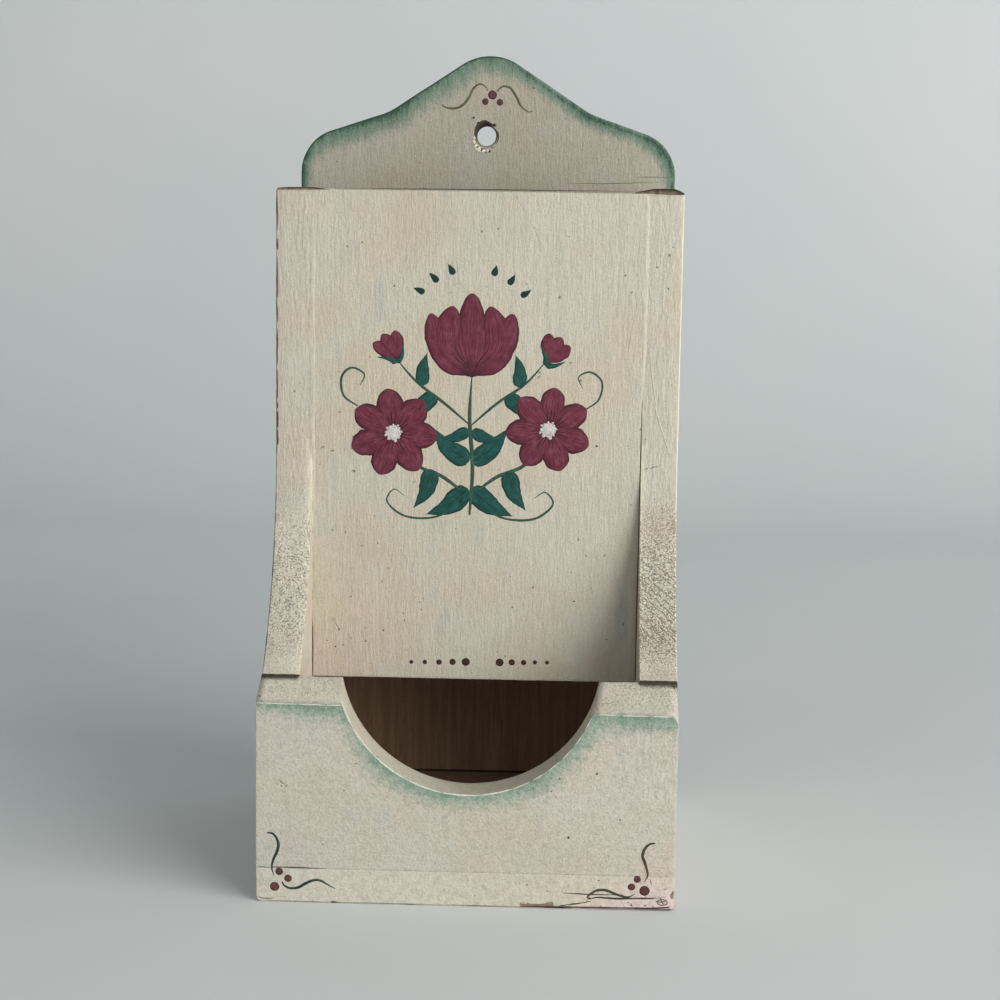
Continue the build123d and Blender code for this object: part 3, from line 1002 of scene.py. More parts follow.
def build_front_board():
    board = Board("front_board", at_xz, front_outline(*ledge_front_z), (painted_y, front_back_y),
                  back_outline=front_outline(ledge_back_left_z, ledge_back_right_z),
                  ease=lambda u, v, back: 0.06 if v < floor_z + 1 else 0.2 if back else 0.16)
    for x, _, z in brads_at("front_board_brads"):
        board.dip((x, z), radius=1.3, depth=0.06)

    def paint(x, y, z, rough, edge, zone, groove):
        to_arc = np.hypot(x - cut_out_x, z - cut_out_z) - cut_out_radius
        below_top = front_top(x, *ledge_front_z) - z
        corner = np.hypot(np.maximum(x - half_width + 2.0, 0), np.maximum(2.0 - below_top, 0))
        right_arc = ramp(x, 8.0, 22.0)
        top_fade = np.interp(x, (-45.0, -40.0, -34.0, -27.0, 26.0, 45.0), (2.7, 1.6, 0.8, 0.8, -0.2, -0.1))
        arc_fade = 1.6 * ramp(z, 30.0, 38.0) * (x < 0)
        from_arc = to_arc * (1.15 - 0.05 * right_arc) + arc_fade
        away = np.minimum(below_top * 1.15 + top_fade, from_arc) - 0.4 * corner - 0.3
        green = np.where(zone == FRONT, GREEN_EDGE - away, NO_GREEN)
        arris = (zone == RIM) & (y < painted_y + 0.22) & (z > floor_z + 4) & (np.abs(x) < half_width - 0.3)
        green = np.where(arris, GREEN_EDGE - 2.5, green)
        deep = np.minimum(ramp(front_high[2] - z, 4 + 2 * rough, 8 + 2 * rough), ramp(to_arc, 1.5, 3 + rough))
        bare = np.where(zone == BACK, deep, 0.0)
        back_edge = (y > front_back_y - ON_EDGE) & (zone != FRONT)
        # Where the sides stand on the ledge, the dark line along the back arris is painted shade in the gap.
        joint_shade = back_edge & (np.abs(x) > inner_half_width - ON_EDGE) & (z > front_high[2] - 0.6)
        seam = (z < floor_z + ON_EDGE) & (zone == RIM)
        dirt = np.where(seam, left_seam(x), np.where(joint_shade, 0.9, 0.0))
        ledge = (zone == RIM) & (to_arc > 0.5) & (z > 40.0) & ~arris
        ring = np.where(zone == FRONT, ramp(x, 30.0, 38.0) * ramp(z, 22.0, 30.0) * 0.16, 0.0)
        ring = np.where(ledge, 0.46, ring)
        # The paler cream of the ledge tops is painted light; along the front arris it is wear.
        worn = np.where(arris, 0.35, np.where(ledge, 0.80 - 0.16 * (x > 0), 0.0))
        return {"green": green, "bare": bare, "dirt": dirt, "worn": worn, "end_grain": ring,
                "pink": np.where(ledge, 0.5, lower_pink(x, z))}

    board.build(PAINT_SANDY, "speckled_wood", paint)


def left_seam(x):
    """The dirt in the seam under the front board, which is open at its left end."""
    return 0.75 * fade(x, -34.0, -28.0)


def lower_pink(x, z):
    """The pink cast of the paint at the foot of the holder, mostly at the right."""
    right = 0.55 * ramp(x, 14.0, 40.0) * fade(z, 1.0, 9.0)
    left = 0.25 * fade(np.hypot(x + half_width, z), 3.0, 10.0)
    return 0.16 + right + left + 0.25 * ramp(x, 8.0, 40.0)


def build_bottom_board():
    low, high = base_low, base_high
    chips = [(x, low[2], reach, amount) for x, reach, amount in (
        (15.6, 3.2, 0.55), (20.0, 1.4, 0.25), (-28.0, 0.9, 0.3), (-12.0, 1.0, 0.2),
        (31.0, 5.0, 0.12), (40.0, 4.0, 0.3), (45.0, 3.0, 0.5))] + [(45.0, 3.6, 1.3, 0.6)]
    outline = rounded(rectangle(low, high), (1.3, 0.8, 0, 0))
    board = Board("bottom_board", at_xz, outline, (painted_y, high[1]),
                  ease=lambda u, v, back: 0.06 if v > high[2] - 1 else 0.26 if v > 1 else 0.10, chips=chips)
    board.groove([(21.1, 3.52), (24.2, 3.38), (27.3, 3.32), (31.0, 3.33), (34.6, 3.35)],
                 width=0.42, depth=0.16)
    board.groove([(20.6, 0.5), (22.3, 0.9), (25.3, 1.38), (27.2, 1.78)], width=0.42, depth=0.16)
    board.groove([(27.2, 2.45), (30.0, 2.62), (32.3, 2.5), (34.6, 2.55), (37.0, 2.62), (41.1, 2.83),
                  (43.7, 3.1)], width=0.60, depth=0.20)

    def paint(x, y, z, rough, edge, zone, groove):
        inner = (np.abs(x) < inner_half_width) & (z > high[2] - ON_EDGE) & (y > front_back_y)
        under = (z < low[2] + ON_EDGE) & (y > low[1] + 2.0)
        bare = np.where((inner | under) & (zone == RIM), 1.0, 0.0)
        worn = fade(z, 0.7, 1.3 + 0.4 * rough) * ramp(x, 11.4, 13.0) * fade(x, 18.4, 20.0)
        corner = ramp(x, 43.6, 44.4) * ramp(z, 2.0, 2.8) * fade(z, 4.4, 5.2) * 0.9 * (y < low[1] + 1.0)
        # Along the bottom front arris the dark mark is dirt and painted shade where the holder meets the
        # floor.
        soiled = (zone == RIM) & (z < 0.5) & (y < low[1] + 2.0)
        seam = (zone == RIM) & (z > high[2] - ON_EDGE) & (y < low[1] + 1.0)
        dirt = np.where(seam, left_seam(x), 0.0)
        dirt = np.where(soiled, 0.62 + 0.3 * ramp(x, 16.0, 28.0), dirt)
        return {"bare": bare, "chip": np.where(zone != BACK, np.maximum(worn, corner), 0.0),
                "dirt": np.maximum(groove, dirt), "worn": np.where(zone == FRONT, 0.44, 0.0),
                "pink": lower_pink(x, z)}

    board.build(PAINT_SANDY, "speckled_wood", paint)


def build_top_sliver(name, low, high, bare_share):
    """Bare wood that shows along the body's top, between a lower and an upper line."""
    mesh = bmesh.new()
    step = 0.8
    lower, upper = smooth_path(low, step), smooth_path(high, step)
    count = min(len(lower), len(upper))
    rows, dirt = [], []
    for k in range(count):
        a, b = (path[round(k * (len(path) - 1) / (count - 1))] for path in (lower, upper))
        rise = 0.12 * (wobble(a.x, 2.0, 7.0, 0.9) - 0.5)
        row = []
        for u, w in ((0.0, 0.06), (0.1, -0.03), (0.5, 0.0), (0.92, 0.18), (1.0, 0.5), (0.7, 2.2), (0.0, 2.4)):
            row.append(mesh.verts.new((a.x * MM, (panel_y + w) * MM, (a.y + (b.y + rise - a.y) * u) * MM)))
            dirt.append(0.40 + 0.5 * ramp(u, 0.3, 0.9))
        rows.append(row)
    weave(mesh, rows)
    marks = {"chip": bare_share, "dirt": np.array(dirt) * bare_share}
    make_piece(name, mesh, marks, PAINT_UP)


build_back_board()
build_side_board(-1)
build_side_board(1)
build_front_panel()
build_seam_paint(-1, LEFT_SEAM_OPEN_Z)
build_seam_paint(1, RIGHT_SEAM_OPEN_Z)
build_front_board()
build_bottom_board()
build_top_sliver("bare_top_right",
                 [(34.2, 152.05), (37.4, 151.95), (40.6, 151.8), (43.1, 151.75), (44.9, 151.8)],
                 [(34.2, 152.2), (36.2, 152.64), (38.4, 153.0), (41.3, 153.1), (43.5, 153.0), (44.9, 152.15)],
                 1.0)
build_top_sliver("bare_top_left",
                 [(-44.6, 151.65), (-40.0, 151.7), (-33.0, 151.8)],
                 [(-44.6, 152.1), (-41.0, 152.3), (-36.3, 152.3), (-33.0, 151.9)], 0.8)

for node in ("front_board_brads", "front_panel_brads", "back_board_brads", "bottom_board_brads"):
    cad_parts[node].data.materials.clear()
    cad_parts[node].data.materials.append(STEEL)


# Painted ornaments, as thin domed strokes of paint on a board's face

class Strokes:
    """One piece made of brush strokes that lie on an upright face, at a depth y."""

    def __init__(self, name, y, material):
        self.name, self.y, self.material = name, y, material
        self.mesh = bmesh.new()
        self.marks = {"along": [], "across": [], "stroke": [], "heart": []}
        self.count = 0

    def vertex(self, x, z, lift, along, across, heart=0.0):
        for key, value in zip(self.marks, (along, across, self.count * 3.7, heart)):
            self.marks[key].append(value)
        return self.mesh.verts.new((x * MM, (self.y - lift) * MM, z * MM))

    def stroke(self, points, width, thickness=0.05, shape="taper", heart=0.0):
        """A stroke along points, whose width swells as the brush is pressed."""
        self.count += 1
        path = smooth_path(points, PATH_STEP)
        total = len(path) - 1
        lanes = 9 if width > 2.0 else 7 if width > 0.9 else 5
        rows = []
        for k, here in enumerate(path):
            t = k / total
            tangent = (path[min(k + 1, total)] - path[max(k - 1, 0)]).normalized()
            half = width / 2 * press(shape, t) * (0.90 + 0.20 * wobble(here.x, here.y, self.count, 1.1))
            row = []
            for lane in range(lanes):
                s = 2 * lane / (lanes - 1) - 1
                lift = (thickness + SUNK) * (1 - s ** 6) * min(1.0, 0.55 + half) - SUNK
                x, z = here.x - tangent.y * half * s, here.y + tangent.x * half * s
                row.append(self.vertex(x, z, lift, t, s, heart * max(0.0, 1 - t * 2.2)))
            rows.append(row)
        weave(self.mesh, rows, flipped=True)

    def dot(self, x, z, radius, thickness=0.07, ragged=0.05):
        """A round dab of paint."""
        self.count += 1
        sides, rings = 22, 4
        top = self.vertex(x, z, thickness, 0.5, 0.0)
        before = None
        for ring in range(1, rings + 1):
            share = ring / rings
            now = []
            for k in range(sides):
                angle = 2 * pi * k / sides
                uneven = 2 * wobble(cos(angle), sin(angle), self.count * 2.3, 0.9) - 1
                r = radius * share * (1 + ragged * share * uneven)
                lift = (thickness + SUNK) * (1 - share ** 4) - SUNK
                here = x + r * cos(angle), z + r * sin(angle)
                now.append(self.vertex(*here, lift, 0.5 + 0.5 * share * cos(angle), share))
            for k in range(sides):
                after = (k + 1) % sides
                self.mesh.faces.new([top, now[after], now[k]] if before is None
                                    else [before[after], now[after], now[k], before[k]])
            before = now

    def dots(self, places, thickness=0.07, ragged=0.05):
        """Dabs from a table of (x, z, radius)."""
        for x, z, radius in places:
            self.dot(x, z, radius, thickness, ragged)
        return self

    def strokes(self, table, thickness=0.05, shape="taper"):
        """Strokes from a table of (width, points)."""
        for width, points in table:
            self.stroke(points, width, thickness, shape)
        return self

    def build(self):
        make_piece(self.name, self.mesh, self.marks, self.material)


def press(shape, t):
    """How wide a stroke is at a share of its length, 1 at its widest."""
    if shape == "petal":
        return max(0.02, sin(pi * min(1.0, t ** 1.5))) ** 0.55
    if shape == "leaf":
        return max(0.02, (1 - t) ** 1.05 * t ** 0.42 * 2.15)
    if shape == "comma":
        return max(0.03, (1 - t) ** 0.8 * min(1.0, (t * 7 + 0.02)) ** 0.5)
    if shape == "even":
        return 0.8 + 0.4 * wobble(t * 9.0, 0.0, 4.0, 1.0)
    return max(0.12, sin(pi * min(1.0, 0.12 + t * 0.84)) ** 0.7)


def build_crest_ornament():
    Strokes("crest_berries", back_face_y, BERRY).dots(
        ((0.9, 174.5, 1.12), (-0.8, 172.9, 0.82), (2.7, 172.8, 0.82))).build()
    Strokes("crest_tendrils", back_face_y, OLIVE).strokes((
        (0.66, [(-11.2, 172.0), (-10.2, 171.4), (-8.8, 171.2), (-7.3, 171.4), (-5.9, 172.3), (-4.7, 173.9),
                (-3.8, 175.8), (-2.6, 176.9), (-1.7, 177.0), (-0.7, 176.3), (-0.2, 175.4)]),
        (0.66, [(2.0, 175.4), (2.9, 176.3), (3.8, 176.6), (5.1, 176.2), (6.0, 175.1), (6.9, 173.6),
                (7.5, 172.3), (8.7, 171.1), (9.7, 170.6), (10.7, 170.9)]))).build()
    outline = counter_clockwise(back_outline())
    inset = outline + inward(outline) * 0.95
    slope = [tuple(p) for p in inset if 9.0 < p[0] < 41.5 and p[1] > crest_shoulder_z - 5.0]
    runs = [slope[int(share * len(slope)):int((share + 0.38) * len(slope))] for share in (0.0, 0.3, 0.6)]
    lines = [(0.62, run) for run in runs]
    Strokes("crest_edge_line", back_face_y, EDGE_GREEN).strokes(lines, thickness=0.0).build()


def build_hole_wear():
    """Chipped paint and dirt round the hanging hole."""
    Strokes("hole_paint_chips", back_face_y, EDGE_WEAR).dots((
        (-3.4, 164.3, 0.4), (-3.4, 163.3, 0.5), (-3.0, 162.4, 0.62), (-2.2, 161.6, 0.66),
        (-1.1, 161.2, 0.55), (-0.1, 161.3, 0.4), (-2.9, 161.6, 0.3)),
        thickness=0.16, ragged=0.4).build()
    Strokes("hole_specks", back_face_y, SOIL).dots((
        (-2.5, 162.2, 0.24), (-1.6, 161.5, 0.22), (-3.3, 162.8, 0.2), (0.35, 161.2, 0.3), (-0.6, 161.0, 0.2),
        (-3.5, 169.1, 0.26), (1.5, 167.5, 0.42), (-2.4, 167.9, 0.30)), thickness=0.22, ragged=0.6).strokes((
            (0.36, ((-3.1, 163.4), (-2.9, 162.6), (-2.3, 161.9))),
            (0.3, ((-2.0, 162.0), (-1.2, 161.7), (-0.2, 161.8))),
            (0.4, ((2.2, 165.9), (2.45, 165.2), (2.4, 164.0), (1.9, 162.9))),
            (0.7, ((-3.3, 166.0), (-2.7, 167.2), (-1.6, 168.1), (-0.6, 168.3), (0.6, 167.7), (1.6, 166.9)))),
            thickness=0.06).build()


def build_dot_rows():
    Strokes("panel_dot_rows", panel_y, DOT).dots((
        (-14.2, 45.8, 0.50), (-11.1, 45.85, 0.56), (-7.9, 45.9, 0.70), (-4.8, 46.0, 0.78),
        (-1.8, 46.05, 0.98), (5.9, 46.1, 0.95), (8.65, 46.2, 0.77), (11.35, 46.2, 0.68),
        (13.9, 46.3, 0.55), (16.65, 46.3, 0.50))).build()


def build_corner_ornaments():
    Strokes("corner_berries", painted_y, BERRY).dots((
        (-39.9, 6.8, 0.98), (-38.0, 5.3, 0.94), (-40.9, 3.4, 1.14),
        (37.0, 6.95, 0.92), (35.8, 5.2, 0.92), (38.6, 4.4, 1.28)), thickness=0.06).build()
    Strokes("corner_tendrils", painted_y, TENDRIL).strokes((
        (0.74, [(-42.5, 15.3), (-41.6, 15.3), (-40.8, 14.7), (-40.1, 13.1), (-40.3, 11.4), (-41.2, 9.3),
                (-41.5, 7.5), (-41.0, 5.8)]),
        (0.76, [(-39.3, 4.5), (-38.7, 3.6), (-37.5, 3.1), (-35.8, 3.3), (-34.1, 4.3), (-32.4, 5.0),
                (-30.9, 4.9), (-29.3, 4.0), (-27.8, 3.2)]))).build()
    Strokes("corner_tendrils_right", painted_y, DARK_LINE_PAINT).strokes((
        (0.78, [(40.6, 15.0), (39.5, 14.8), (38.5, 13.8), (38.0, 12.2), (38.5, 10.7), (39.0, 9.1),
                (39.2, 7.8), (38.5, 6.4)]),
        (0.78, [(26.3, 2.5), (26.7, 3.1), (27.4, 3.7), (28.7, 4.3), (30.4, 4.3), (32.3, 3.6), (33.8, 3.1),
                (35.3, 3.0), (36.6, 3.7)]))).strokes((
            (0.26, ((39.8, 7.0), (39.9, 6.3), (40.1, 5.6))),
            (0.26, ((42.5, 4.87), (43.6, 5.0))),
            (0.34, ((41.1, 1.9), (41.7, 2.45), (42.6, 2.6), (43.4, 2.2), (43.5, 1.7), (42.7, 1.3),
                    (41.9, 1.4), (41.4, 2.0), (42.4, 2.3), (43.1, 1.9), (42.3, 1.6))),
            (0.3, ((42.0, 2.9), (42.3, 2.2), (42.9, 1.2))),
            (0.26, ((41.0, 2.3), (41.9, 1.9), (43.6, 2.5))),
            (0.36, ((35.7, 1.6), (35.9, 1.1), (36.2, 0.8))),
            (0.5, ((26.6, 2.2), (26.9, 2.7)))), thickness=0.03).build()


def build_front_soil():
    """Specks, stains and cracks in the paint of the front board and the bottom board, with painted shade at
    the ledge joints and along the bottom edge.
    """
    Strokes("front_specks", painted_y, SOIL).dots((
        (27.9, 30.0, 0.24), (22.1, 15.8, 0.3), (18.3, 25.9, 0.2), (20.0, 28.7, 0.2), (-9.0, 30.0, 0.16),
        (-30.5, 13.0, 0.16), (35.8, 1.2, 0.26), (38.8, 1.1, 0.24), (40.5, 0.9, 0.2), (35.2, 1.7, 0.2),
        (33.0, 20.0, 0.18), (-26.0, 25.0, 0.15), (41.6, 9.0, 0.16), (28.8, 6.5, 0.2), (29.2, 0.6, 0.24)),
        thickness=0.02, ragged=0.5).strokes((
            (0.26, ((-39.8, 27.2), (-39.2, 26.4), (-38.4, 26.1))), (0.26, ((-38.7, 25.6), (-38.1, 26.0))),
            (0.26, ((-39.5, 25.9), (-39.1, 25.4)))), thickness=0.02).build()
    stain = (0.5, [(17.5, 0.36), (24.0, 0.4), (30.0, 0.44), (36.0, 0.5), (40.5, 0.58), (44.0, 0.85)])
    Strokes("bottom_edge_stain", painted_y, STAIN).strokes([stain], shape="even").build()
    # Dark lines of painted shade where the side boards stand on the ledge.
    ledges = []
    for side, z in ((-1, ledge_back_left_z), (1, ledge_back_right_z)):
        xs = np.linspace(side * (inner_half_width - 0.1), side * (half_width - 0.15), 7)
        ledges.append((0.62, [(x, z - 0.02) for x in xs]))
    Strokes("ledge_joint_shade", front_back_y, DARK_LINE_PAINT).strokes(ledges, thickness=0.02, shape="even").build()
    Strokes("front_cracks_and_foot_shade", painted_y, DARK_LINE_PAINT).strokes((
        (0.2, ((-44.4, 7.75), (-42.6, 7.8))),
        (0.36, ((-41.6, 7.75), (-39.0, 7.8), (-36.0, 7.75), (-33.0, 7.7), (-29.4, 7.62))),
        # The thin dark lines just above the bottom edge are dirt and painted shade where the board meets the
        # floor.
        (0.34, ((-44.4, 1.1), (-43.6, 0.75), (-42.0, 0.7), (-40.8, 0.9))),
        (0.2, ((-43.9, 0.3), (-36.0, 0.22), (-29.4, 0.26))), (0.42, ((-28.8, 0.3), (-27.4, 0.3))),
        (0.2, ((-26.8, 0.2), (-14.0, 0.22), (-4.0, 0.2))), (0.24, ((-3.4, 0.26), (4.0, 0.2), (11.4, 0.26))),
        (0.26, ((21.1, 3.5), (24.2, 3.38), (27.3, 3.3), (31.0, 3.33))),
        (0.34, ((20.4, 0.62), (22.0, 0.85))), (0.34, ((22.6, 0.95), (25.0, 1.32))),
        (0.24, ((25.5, 1.42), (27.2, 1.8))),
        (0.5, ((26.8, 2.3), (28.6, 2.75), (30.5, 2.62), (32.3, 2.5), (34.6, 2.55), (37.0, 2.62))),
        (0.34, ((36.6, 2.62), (39.0, 2.7), (41.1, 2.8)))), thickness=0.03).build()


def build_body_soil():
    """Painted shade along the left side's outer arris, in the foot of the panel's right seam and inside along
    the back board's foot, with scratches, pale ridges and specks of the side boards and the panel.
    """
    # A broken dark line of painted shade down the left side's outer front arris.
    edge_x = -44.74
    chips = [(width, [(0.16 * wobble(2.0, z, 3.0, 1.5) + edge_x, z) for z in np.linspace(first, last, 5)])
             for first, last, width in (
                 (95.0, 98.5, 0.42), (98.9, 102.6, 0.42), (103.2, 104.6, 0.34), (105.5, 112.0, 0.24),
                 (113.0, 121.0, 0.26), (122.5, 126.0, 0.2), (128.0, 137.0, 0.26), (138.5, 141.0, 0.36),
                 (142.5, 151.0, 0.22))]
    Strokes("left_edge_shade", panel_y, EDGE_SHADE_PAINT).strokes(chips, thickness=0.0).build()
    # A dark line of painted shade in the foot of the panel's right seam.
    seam = (0.42, [(36.45, 47.6), (36.5, 52.0), (36.55, 58.0), (36.6, 66.0)])
    Strokes("panel_foot_seam_shade", panel_y, EDGE_SHADE_PAINT).strokes([seam], thickness=0.0).build()
    Strokes("right_edge_scratches", panel_y - 0.26, SOIL).strokes((
        (0.13, ((37.6, 91.0), (38.5, 91.25))), (0.13, ((38.9, 91.1), (39.6, 91.5), (40.8, 91.7))),
        (0.13, ((38.2, 90.0), (39.0, 90.25)))), thickness=0.0).build()
    Strokes("right_edge_ridges", panel_y - 0.08, EDGE_WEAR).strokes((
        (0.2, [(38.9, 107.2), (40.0, 103.9), (41.7, 98.7), (43.4, 93.6)]),
        (0.14, [(38.2, 118.0), (38.8, 112.0), (39.6, 107.0), (40.2, 101.0)])), thickness=0.0).build()
    # A dark line of painted shade inside, where the back board meets the bottom board.
    seam = (0.75, [(-30.0, 7.75), (-14.0, 7.85), (0.0, 7.8), (12.0, 7.9), (30.0, 7.8)])
    Strokes("back_foot_shade", back_face_y, DARK_LINE_PAINT).strokes([seam], thickness=0.03).build()
    Strokes("panel_specks", panel_y, SOIL).dots((
        (26.9, 96.0, 0.26), (-31.5, 49.0, 0.2), (-33.5, 50.4, 0.18), (-29.8, 49.4, 0.16), (22.5, 60.6, 0.24),
        (32.4, 134.0, 0.2), (-22.0, 73.0, 0.15), (8.0, 66.0, 0.14), (-12.0, 58.0, 0.14), (30.0, 52.0, 0.18),
        (-20.6, 53.0, 0.2), (-24.6, 50.4, 0.2), (-15.8, 55.4, 0.16)), thickness=0.02, ragged=0.5).build()


def build_edge_wear():
    """Crisp pale lines where the arrises of the front board are rubbed, long and wide at the left."""
    lines = Strokes("front_edge_wear", painted_y, EDGE_WEAR)
    reach = cut_out_radius + 0.13
    start, middle, stop = 196.0, 285.0, 337.0   # degrees round the cut-out
    while start < stop:
        run, gap, width = (15.0, 0.3, 0.44) if start < middle else (7.0, 1.6, 0.26)
        end = min(start + run * (0.6 + 0.8 * wobble(start, 0.0, 5.0, 9.0)), stop + 1.0)
        turns = [radians(start + (end - start) * k / 8) for k in range(9)]
        lines.stroke([(cut_out_x + reach * cos(t), cut_out_z + reach * sin(t)) for t in turns], width,
                     thickness=0.02)
        start = end + gap
    for first, last in ((-44.6, -36.0), (-35.6, -30.2), (-29.8, -26.2),
                        (28.2, 31.5), (33.0, 38.5), (39.5, 43.0)):
        xs = [first + (last - first) * k / 5 for k in range(6)]
        lines.stroke([(x, front_top(x, *ledge_front_z) - 0.14 + 0.16 * wobble(x, 1.0, 1.0, 2.0)) for x in xs],
                     width=0.3, thickness=0.02)
    lines.build()


def turned(points, origin, angle, scale=1.0, flip=1.0):
    """Points drawn from (0, 0) upward, turned clockwise by an angle in degrees and put at origin."""
    c, s = cos(radians(angle)), sin(radians(angle))
    return [(origin[0] + scale * (flip * u * c + v * s), origin[1] + scale * (-flip * u * s + v * c))
            for u, v in points]


class Spray:
    """The strokes of the painted spray, each a little uneven as a hand leaves it."""

    def __init__(self):
        paints = {"stems": STEM, "leaves": LEAF, "veins": VEIN, "petals": BURGUNDY, "liners": DARK,
                  "centres": WHITE, "tendrils": STEM, "dabs": DAB}
        self.parts = {key: Strokes(f"spray_{key}", panel_y, paint) for key, paint in paints.items()}

    def draw(self, part, points, origin, angle=0.0, size=1.0, flip=1.0, **stroke):
        uneven = [(x + 0.5 * (wobble(x, z, 1.0, 3.0) - 0.5), z + 0.5 * (wobble(x, z, 9.0, 3.0) - 0.5))
                  for x, z in turned(points, origin, angle, size, flip)]
        self.parts[part].stroke(uneven, **stroke)

    def petal(self, origin, angle, size, width, length, lean=0.0, flip=1.0, level=0,
              liners=(-0.55, 0.05, 0.6)):
        """A round petal with fine dark strokes at its foot. Each level lies over the one before."""
        shape = [(0, 0), (lean, length * 0.5), (0, length)]
        self.draw("petals", shape, origin, angle, size, flip, width=width * size,
                  thickness=0.10 + PETAL_LAYER * level, shape="petal", heart=0.9)
        for spread in liners:
            tip = length * (0.50 - 0.14 * abs(spread))
            shape = [(spread * 0.6, length * 0.14), (spread * 1.0 + lean * 0.3, tip * 0.6),
                     (spread * 1.6 + lean * 0.6, tip)]
            self.draw("liners", shape, origin, angle, size, flip, width=0.36, thickness=0.25)

    def leaf(self, origin, angle, size, flip=1.0, level=0):
        shape = [(0, 0), (0.5, 3.0), (0.5, 6.8), (-0.9, 11.8)]
        self.draw("leaves", shape, origin, angle, size, flip, width=6.0 * size,
                  thickness=0.04 + 0.008 * level, shape="leaf", heart=0.4)
        for start, end in (((0.1, 0.2), (0.6, 7.6)), ((0.5, 2.2), (1.6, 3.9)), ((0.5, 3.0), (-0.7, 4.6))):
            middle = ((start[0] + end[0]) / 2 + 0.2, (start[1] + end[1]) / 2)
            self.draw("veins", [start, middle, end], origin, angle, size, flip, width=0.40, thickness=0.095)

    def centre(self, x, z, radius):
        """A rough whitish dab, built up of small ones."""
        dabs = self.parts["centres"]
        dabs.dot(x, z, radius, thickness=0.26, ragged=0.12)
        count = 26
        for k in range(count):
            reach, angle = radius * 0.92 * sqrt((k + 0.5) / count), 2.4 * k
            dabs.dot(x + reach * cos(angle), z + reach * sin(angle), 0.30 + 0.08 * (k % 3),
                     thickness=0.29, ragged=0.3)


SPRAY_CURLS = (
    [(25.2, 104.0), (28.4, 106.4), (29.0, 110.4), (26.6, 112.6), (24.0, 111.2), (24.8, 108.8)],
    [(2.0, 82.0), (8.0, 79.2), (14.6, 79.4), (18.6, 82.6), (17.0, 85.4), (14.6, 84.0)])
PETAL_LAYER = 0.012          # how much higher each petal lies than the one before


def build_spray():
    """A traditional spray: a tulip on a stem between two daisies, with leaves, buds and tendrils."""
    x, foot_z = -1.4, 80.0
    spray = Spray()
    tulip = (x, 111.0)
    spray.draw("stems", [(0, 0), (0.5, 10.5), (-0.3, 21.5), (0, 31.0)], (x, foot_z), width=1.0)
    for level, flip in enumerate((-1, 1)):
        spray.draw("petals", [(0.6, 0.2), (5.2, 2.6), (7.4, 7.6), (9.2, 14.0)], tulip, flip=flip,
                   width=5.4, thickness=0.09 + PETAL_LAYER * level, shape="petal", heart=0.9)
    spray.petal(tulip, 0, 1.0, 8.4, 13.5, level=2, liners=())
    for level, flip in enumerate((-1, 1)):
        spray.petal(tulip, 15 * flip, 1.0, 6.4, 16.2, 3.2, flip, 3 + level, (0.2, 0.8))
    spray.petal(tulip, 0, 1.0, 6.0, 18.6, level=6)
    for flip, bloom, size in ((-1, (x - 17.2, 98.2), 1.08), (1, (x + 17.4, 99.4), 1.04)):
        spray.draw("stems", [(0, 0), (6.0 * flip, 4.5), (12.0 * flip, 7.2), (16.4 * flip, 13.0)], (x, 84.0),
                   width=0.9)
        for k in range(7):
            spray.petal(bloom, 360 / 7 * k + 8 * flip, size, 5.8, 9.2, level=k)
        spray.centre(*bloom, 2.1)
        bud = (x + flip * 16.6, 114.6)
        spray.draw("stems", [(0, 0), (6.0 * flip, 5.2), (12.0 * flip, 9.6), (16.6 * flip, 14.6)], (x, 100.0),
                   width=0.7)
        for level, lean in enumerate((-26, 26, 0)):
            spray.draw("petals", [(0, 0), (0.2, 3.0), (0, 6.8)], bud, flip * 30 + lean, 0.95, width=3.3,
                       thickness=0.09 + PETAL_LAYER * level, shape="petal", heart=0.7)
        for lean in (-46, 46):
            spray.draw("leaves", [(0, 0), (0.5, 2.0), (0.1, 4.6)], (bud[0], bud[1] - 0.8), flip * 30 + lean,
                       width=1.6, thickness=0.15, shape="comma")
        for level, (dx, z, angle, size) in enumerate((
                (0.4, 86.0, 128, 0.95), (0.2, 92.0, 52, 0.92), (8.6, 90.0, 160, 0.82),
                (8.0, 107.0, 126, 0.72), (10.6, 108.8, -2, 0.62), (0.3, 99.0, 112, 0.55))):
            spray.leaf((x + flip * dx, z), flip * angle, size, flip, level)
        for curl in SPRAY_CURLS:
            spray.draw("tendrils", curl, (x, 0.0), flip=flip, width=0.6)
        for k, (dx, z) in enumerate(((4.4, 133.4), (7.8, 131.8), (10.6, 129.4))):
            spray.draw("dabs", [(0, 0), (0.2, 1.0), (0, 2.7)], (x + flip * dx, z), flip * (20 + 22 * k),
                       width=1.7, shape="leaf")
    for part in spray.parts.values():
        part.build()


build_crest_ornament()
build_hole_wear()
build_dot_rows()
build_corner_ornaments()
build_front_soil()
build_body_soil()
build_edge_wear()
build_spray()


# Floor, backdrop and light

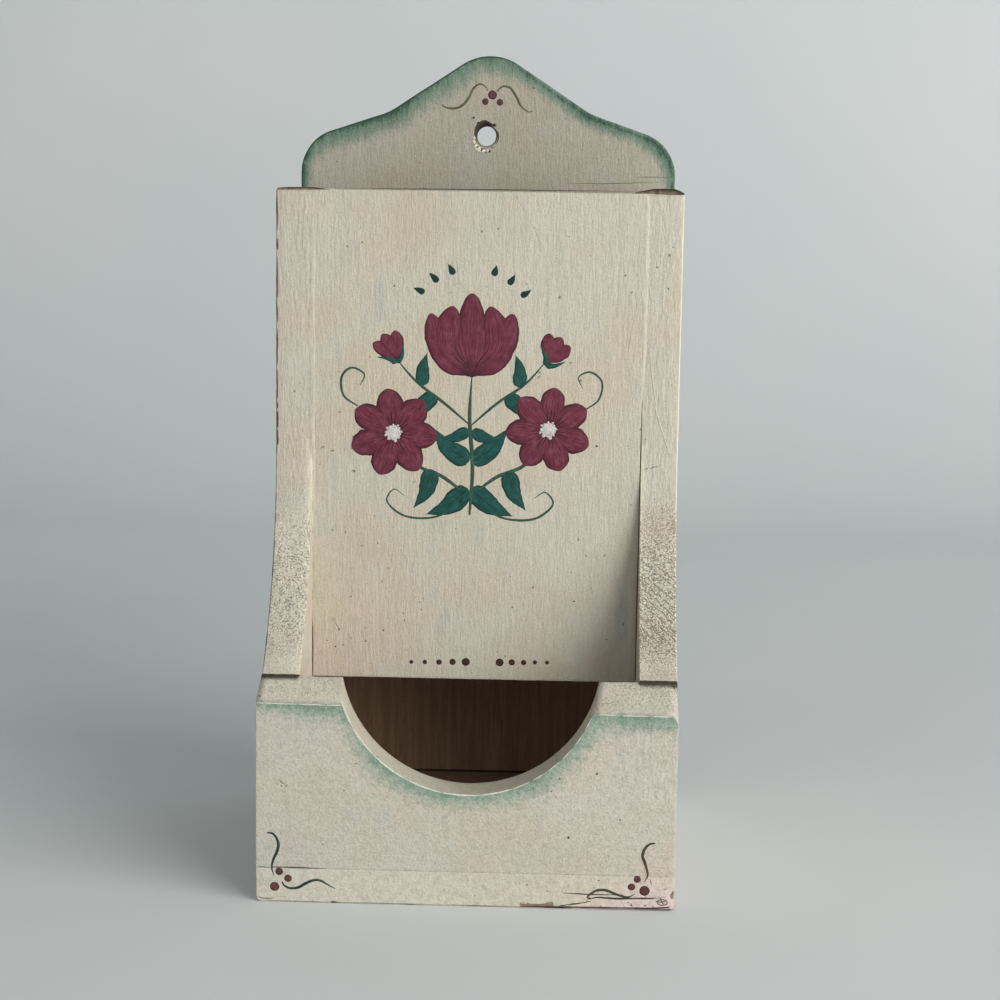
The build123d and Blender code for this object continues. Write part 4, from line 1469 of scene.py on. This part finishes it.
def build_sweep():
    """A pale floor that curves up into a backdrop, unseen from behind."""
    bend, wall, reach, side = 0.30, 0.75, 3.0, 3.0
    profile = [(-reach, 0.0), (-1.0, 0.0), (wall - bend, 0.0)]
    turns = [pi / 2 * k / 24 for k in range(1, 25)]
    profile += [(wall - bend + bend * sin(a), bend - bend * cos(a)) for a in turns]
    profile.append((wall, 2.6))
    mesh = bmesh.new()
    weave(mesh, [[mesh.verts.new((x, y, z)) for x in (-side, side)] for y, z in profile])
    s = Shader("pale_sweep")
    tone = s.noise(s.position, 3.0, 3.0, 0.5)
    colour = s.tint(srgb(214, 219, 219), tone, 0.3, 0.7, srgb(221, 225, 224))
    s.finish(colour, 0.9, 0.2)
    behind, clear = s.node("NewGeometry").outputs["Backfacing"], s.node("BsdfTransparent").outputs[0]
    choose = s.node("MixShader", {0: behind, 1: s.bsdf.outputs[0], 2: clear})
    s.link(choose.outputs[0], s.out.inputs[0])
    sweep = mesh_object("sweep", mesh, s.material)


def area_light(name, place, target, size, power, colour=(1.0, 1.0, 1.0)):
    data = bpy.data.lights.new(name, "AREA")
    data.shape = "RECTANGLE"
    data.size, data.size_y = size
    data.energy = power
    data.color = colour
    lamp = placed(name, data)
    lamp.location = place
    lamp.rotation_euler = (Vector(target) - Vector(place)).to_track_quat("-Z", "Y").to_euler()


def build_light():
    """A window at the right and the room's weaker light from the left, both aimed at the middle."""
    middle = (0.0, 0.0, 0.09)
    area_light("window", (1.00, -0.83, 0.46), middle, (1.25, 0.95), power=21.5, colour=(1.0, 0.985, 0.96))
    area_light("room", (-0.9, -1.1, 0.8), middle, (1.2, 1.2), power=2.2, colour=(0.95, 0.98, 1.0))
    world = bpy.data.worlds.new("room_light")
    bpy.context.scene.world = world
    world.use_nodes = True
    nodes, links = world.node_tree.nodes, world.node_tree.links
    ground = nodes["Background"]
    ground.inputs[0].default_value = (0.93, 0.96, 1.0, 1.0)
    ground.inputs[1].default_value = 0.26
    seen = nodes.new("ShaderNodeBackground")
    seen.inputs[0].default_value = srgb(204, 209, 210)
    seen.inputs[1].default_value = 1.0
    path = nodes.new("ShaderNodeLightPath")
    choose = nodes.new("ShaderNodeMixShader")
    links.new(path.outputs["Is Camera Ray"], choose.inputs[0])
    links.new(ground.outputs[0], choose.inputs[1])
    links.new(seen.outputs[0], choose.inputs[2])
    links.new(choose.outputs[0], nodes["World Output"].inputs[0])


build_sweep()
build_light()
bpy.context.scene.view_settings.view_transform = "Standard"
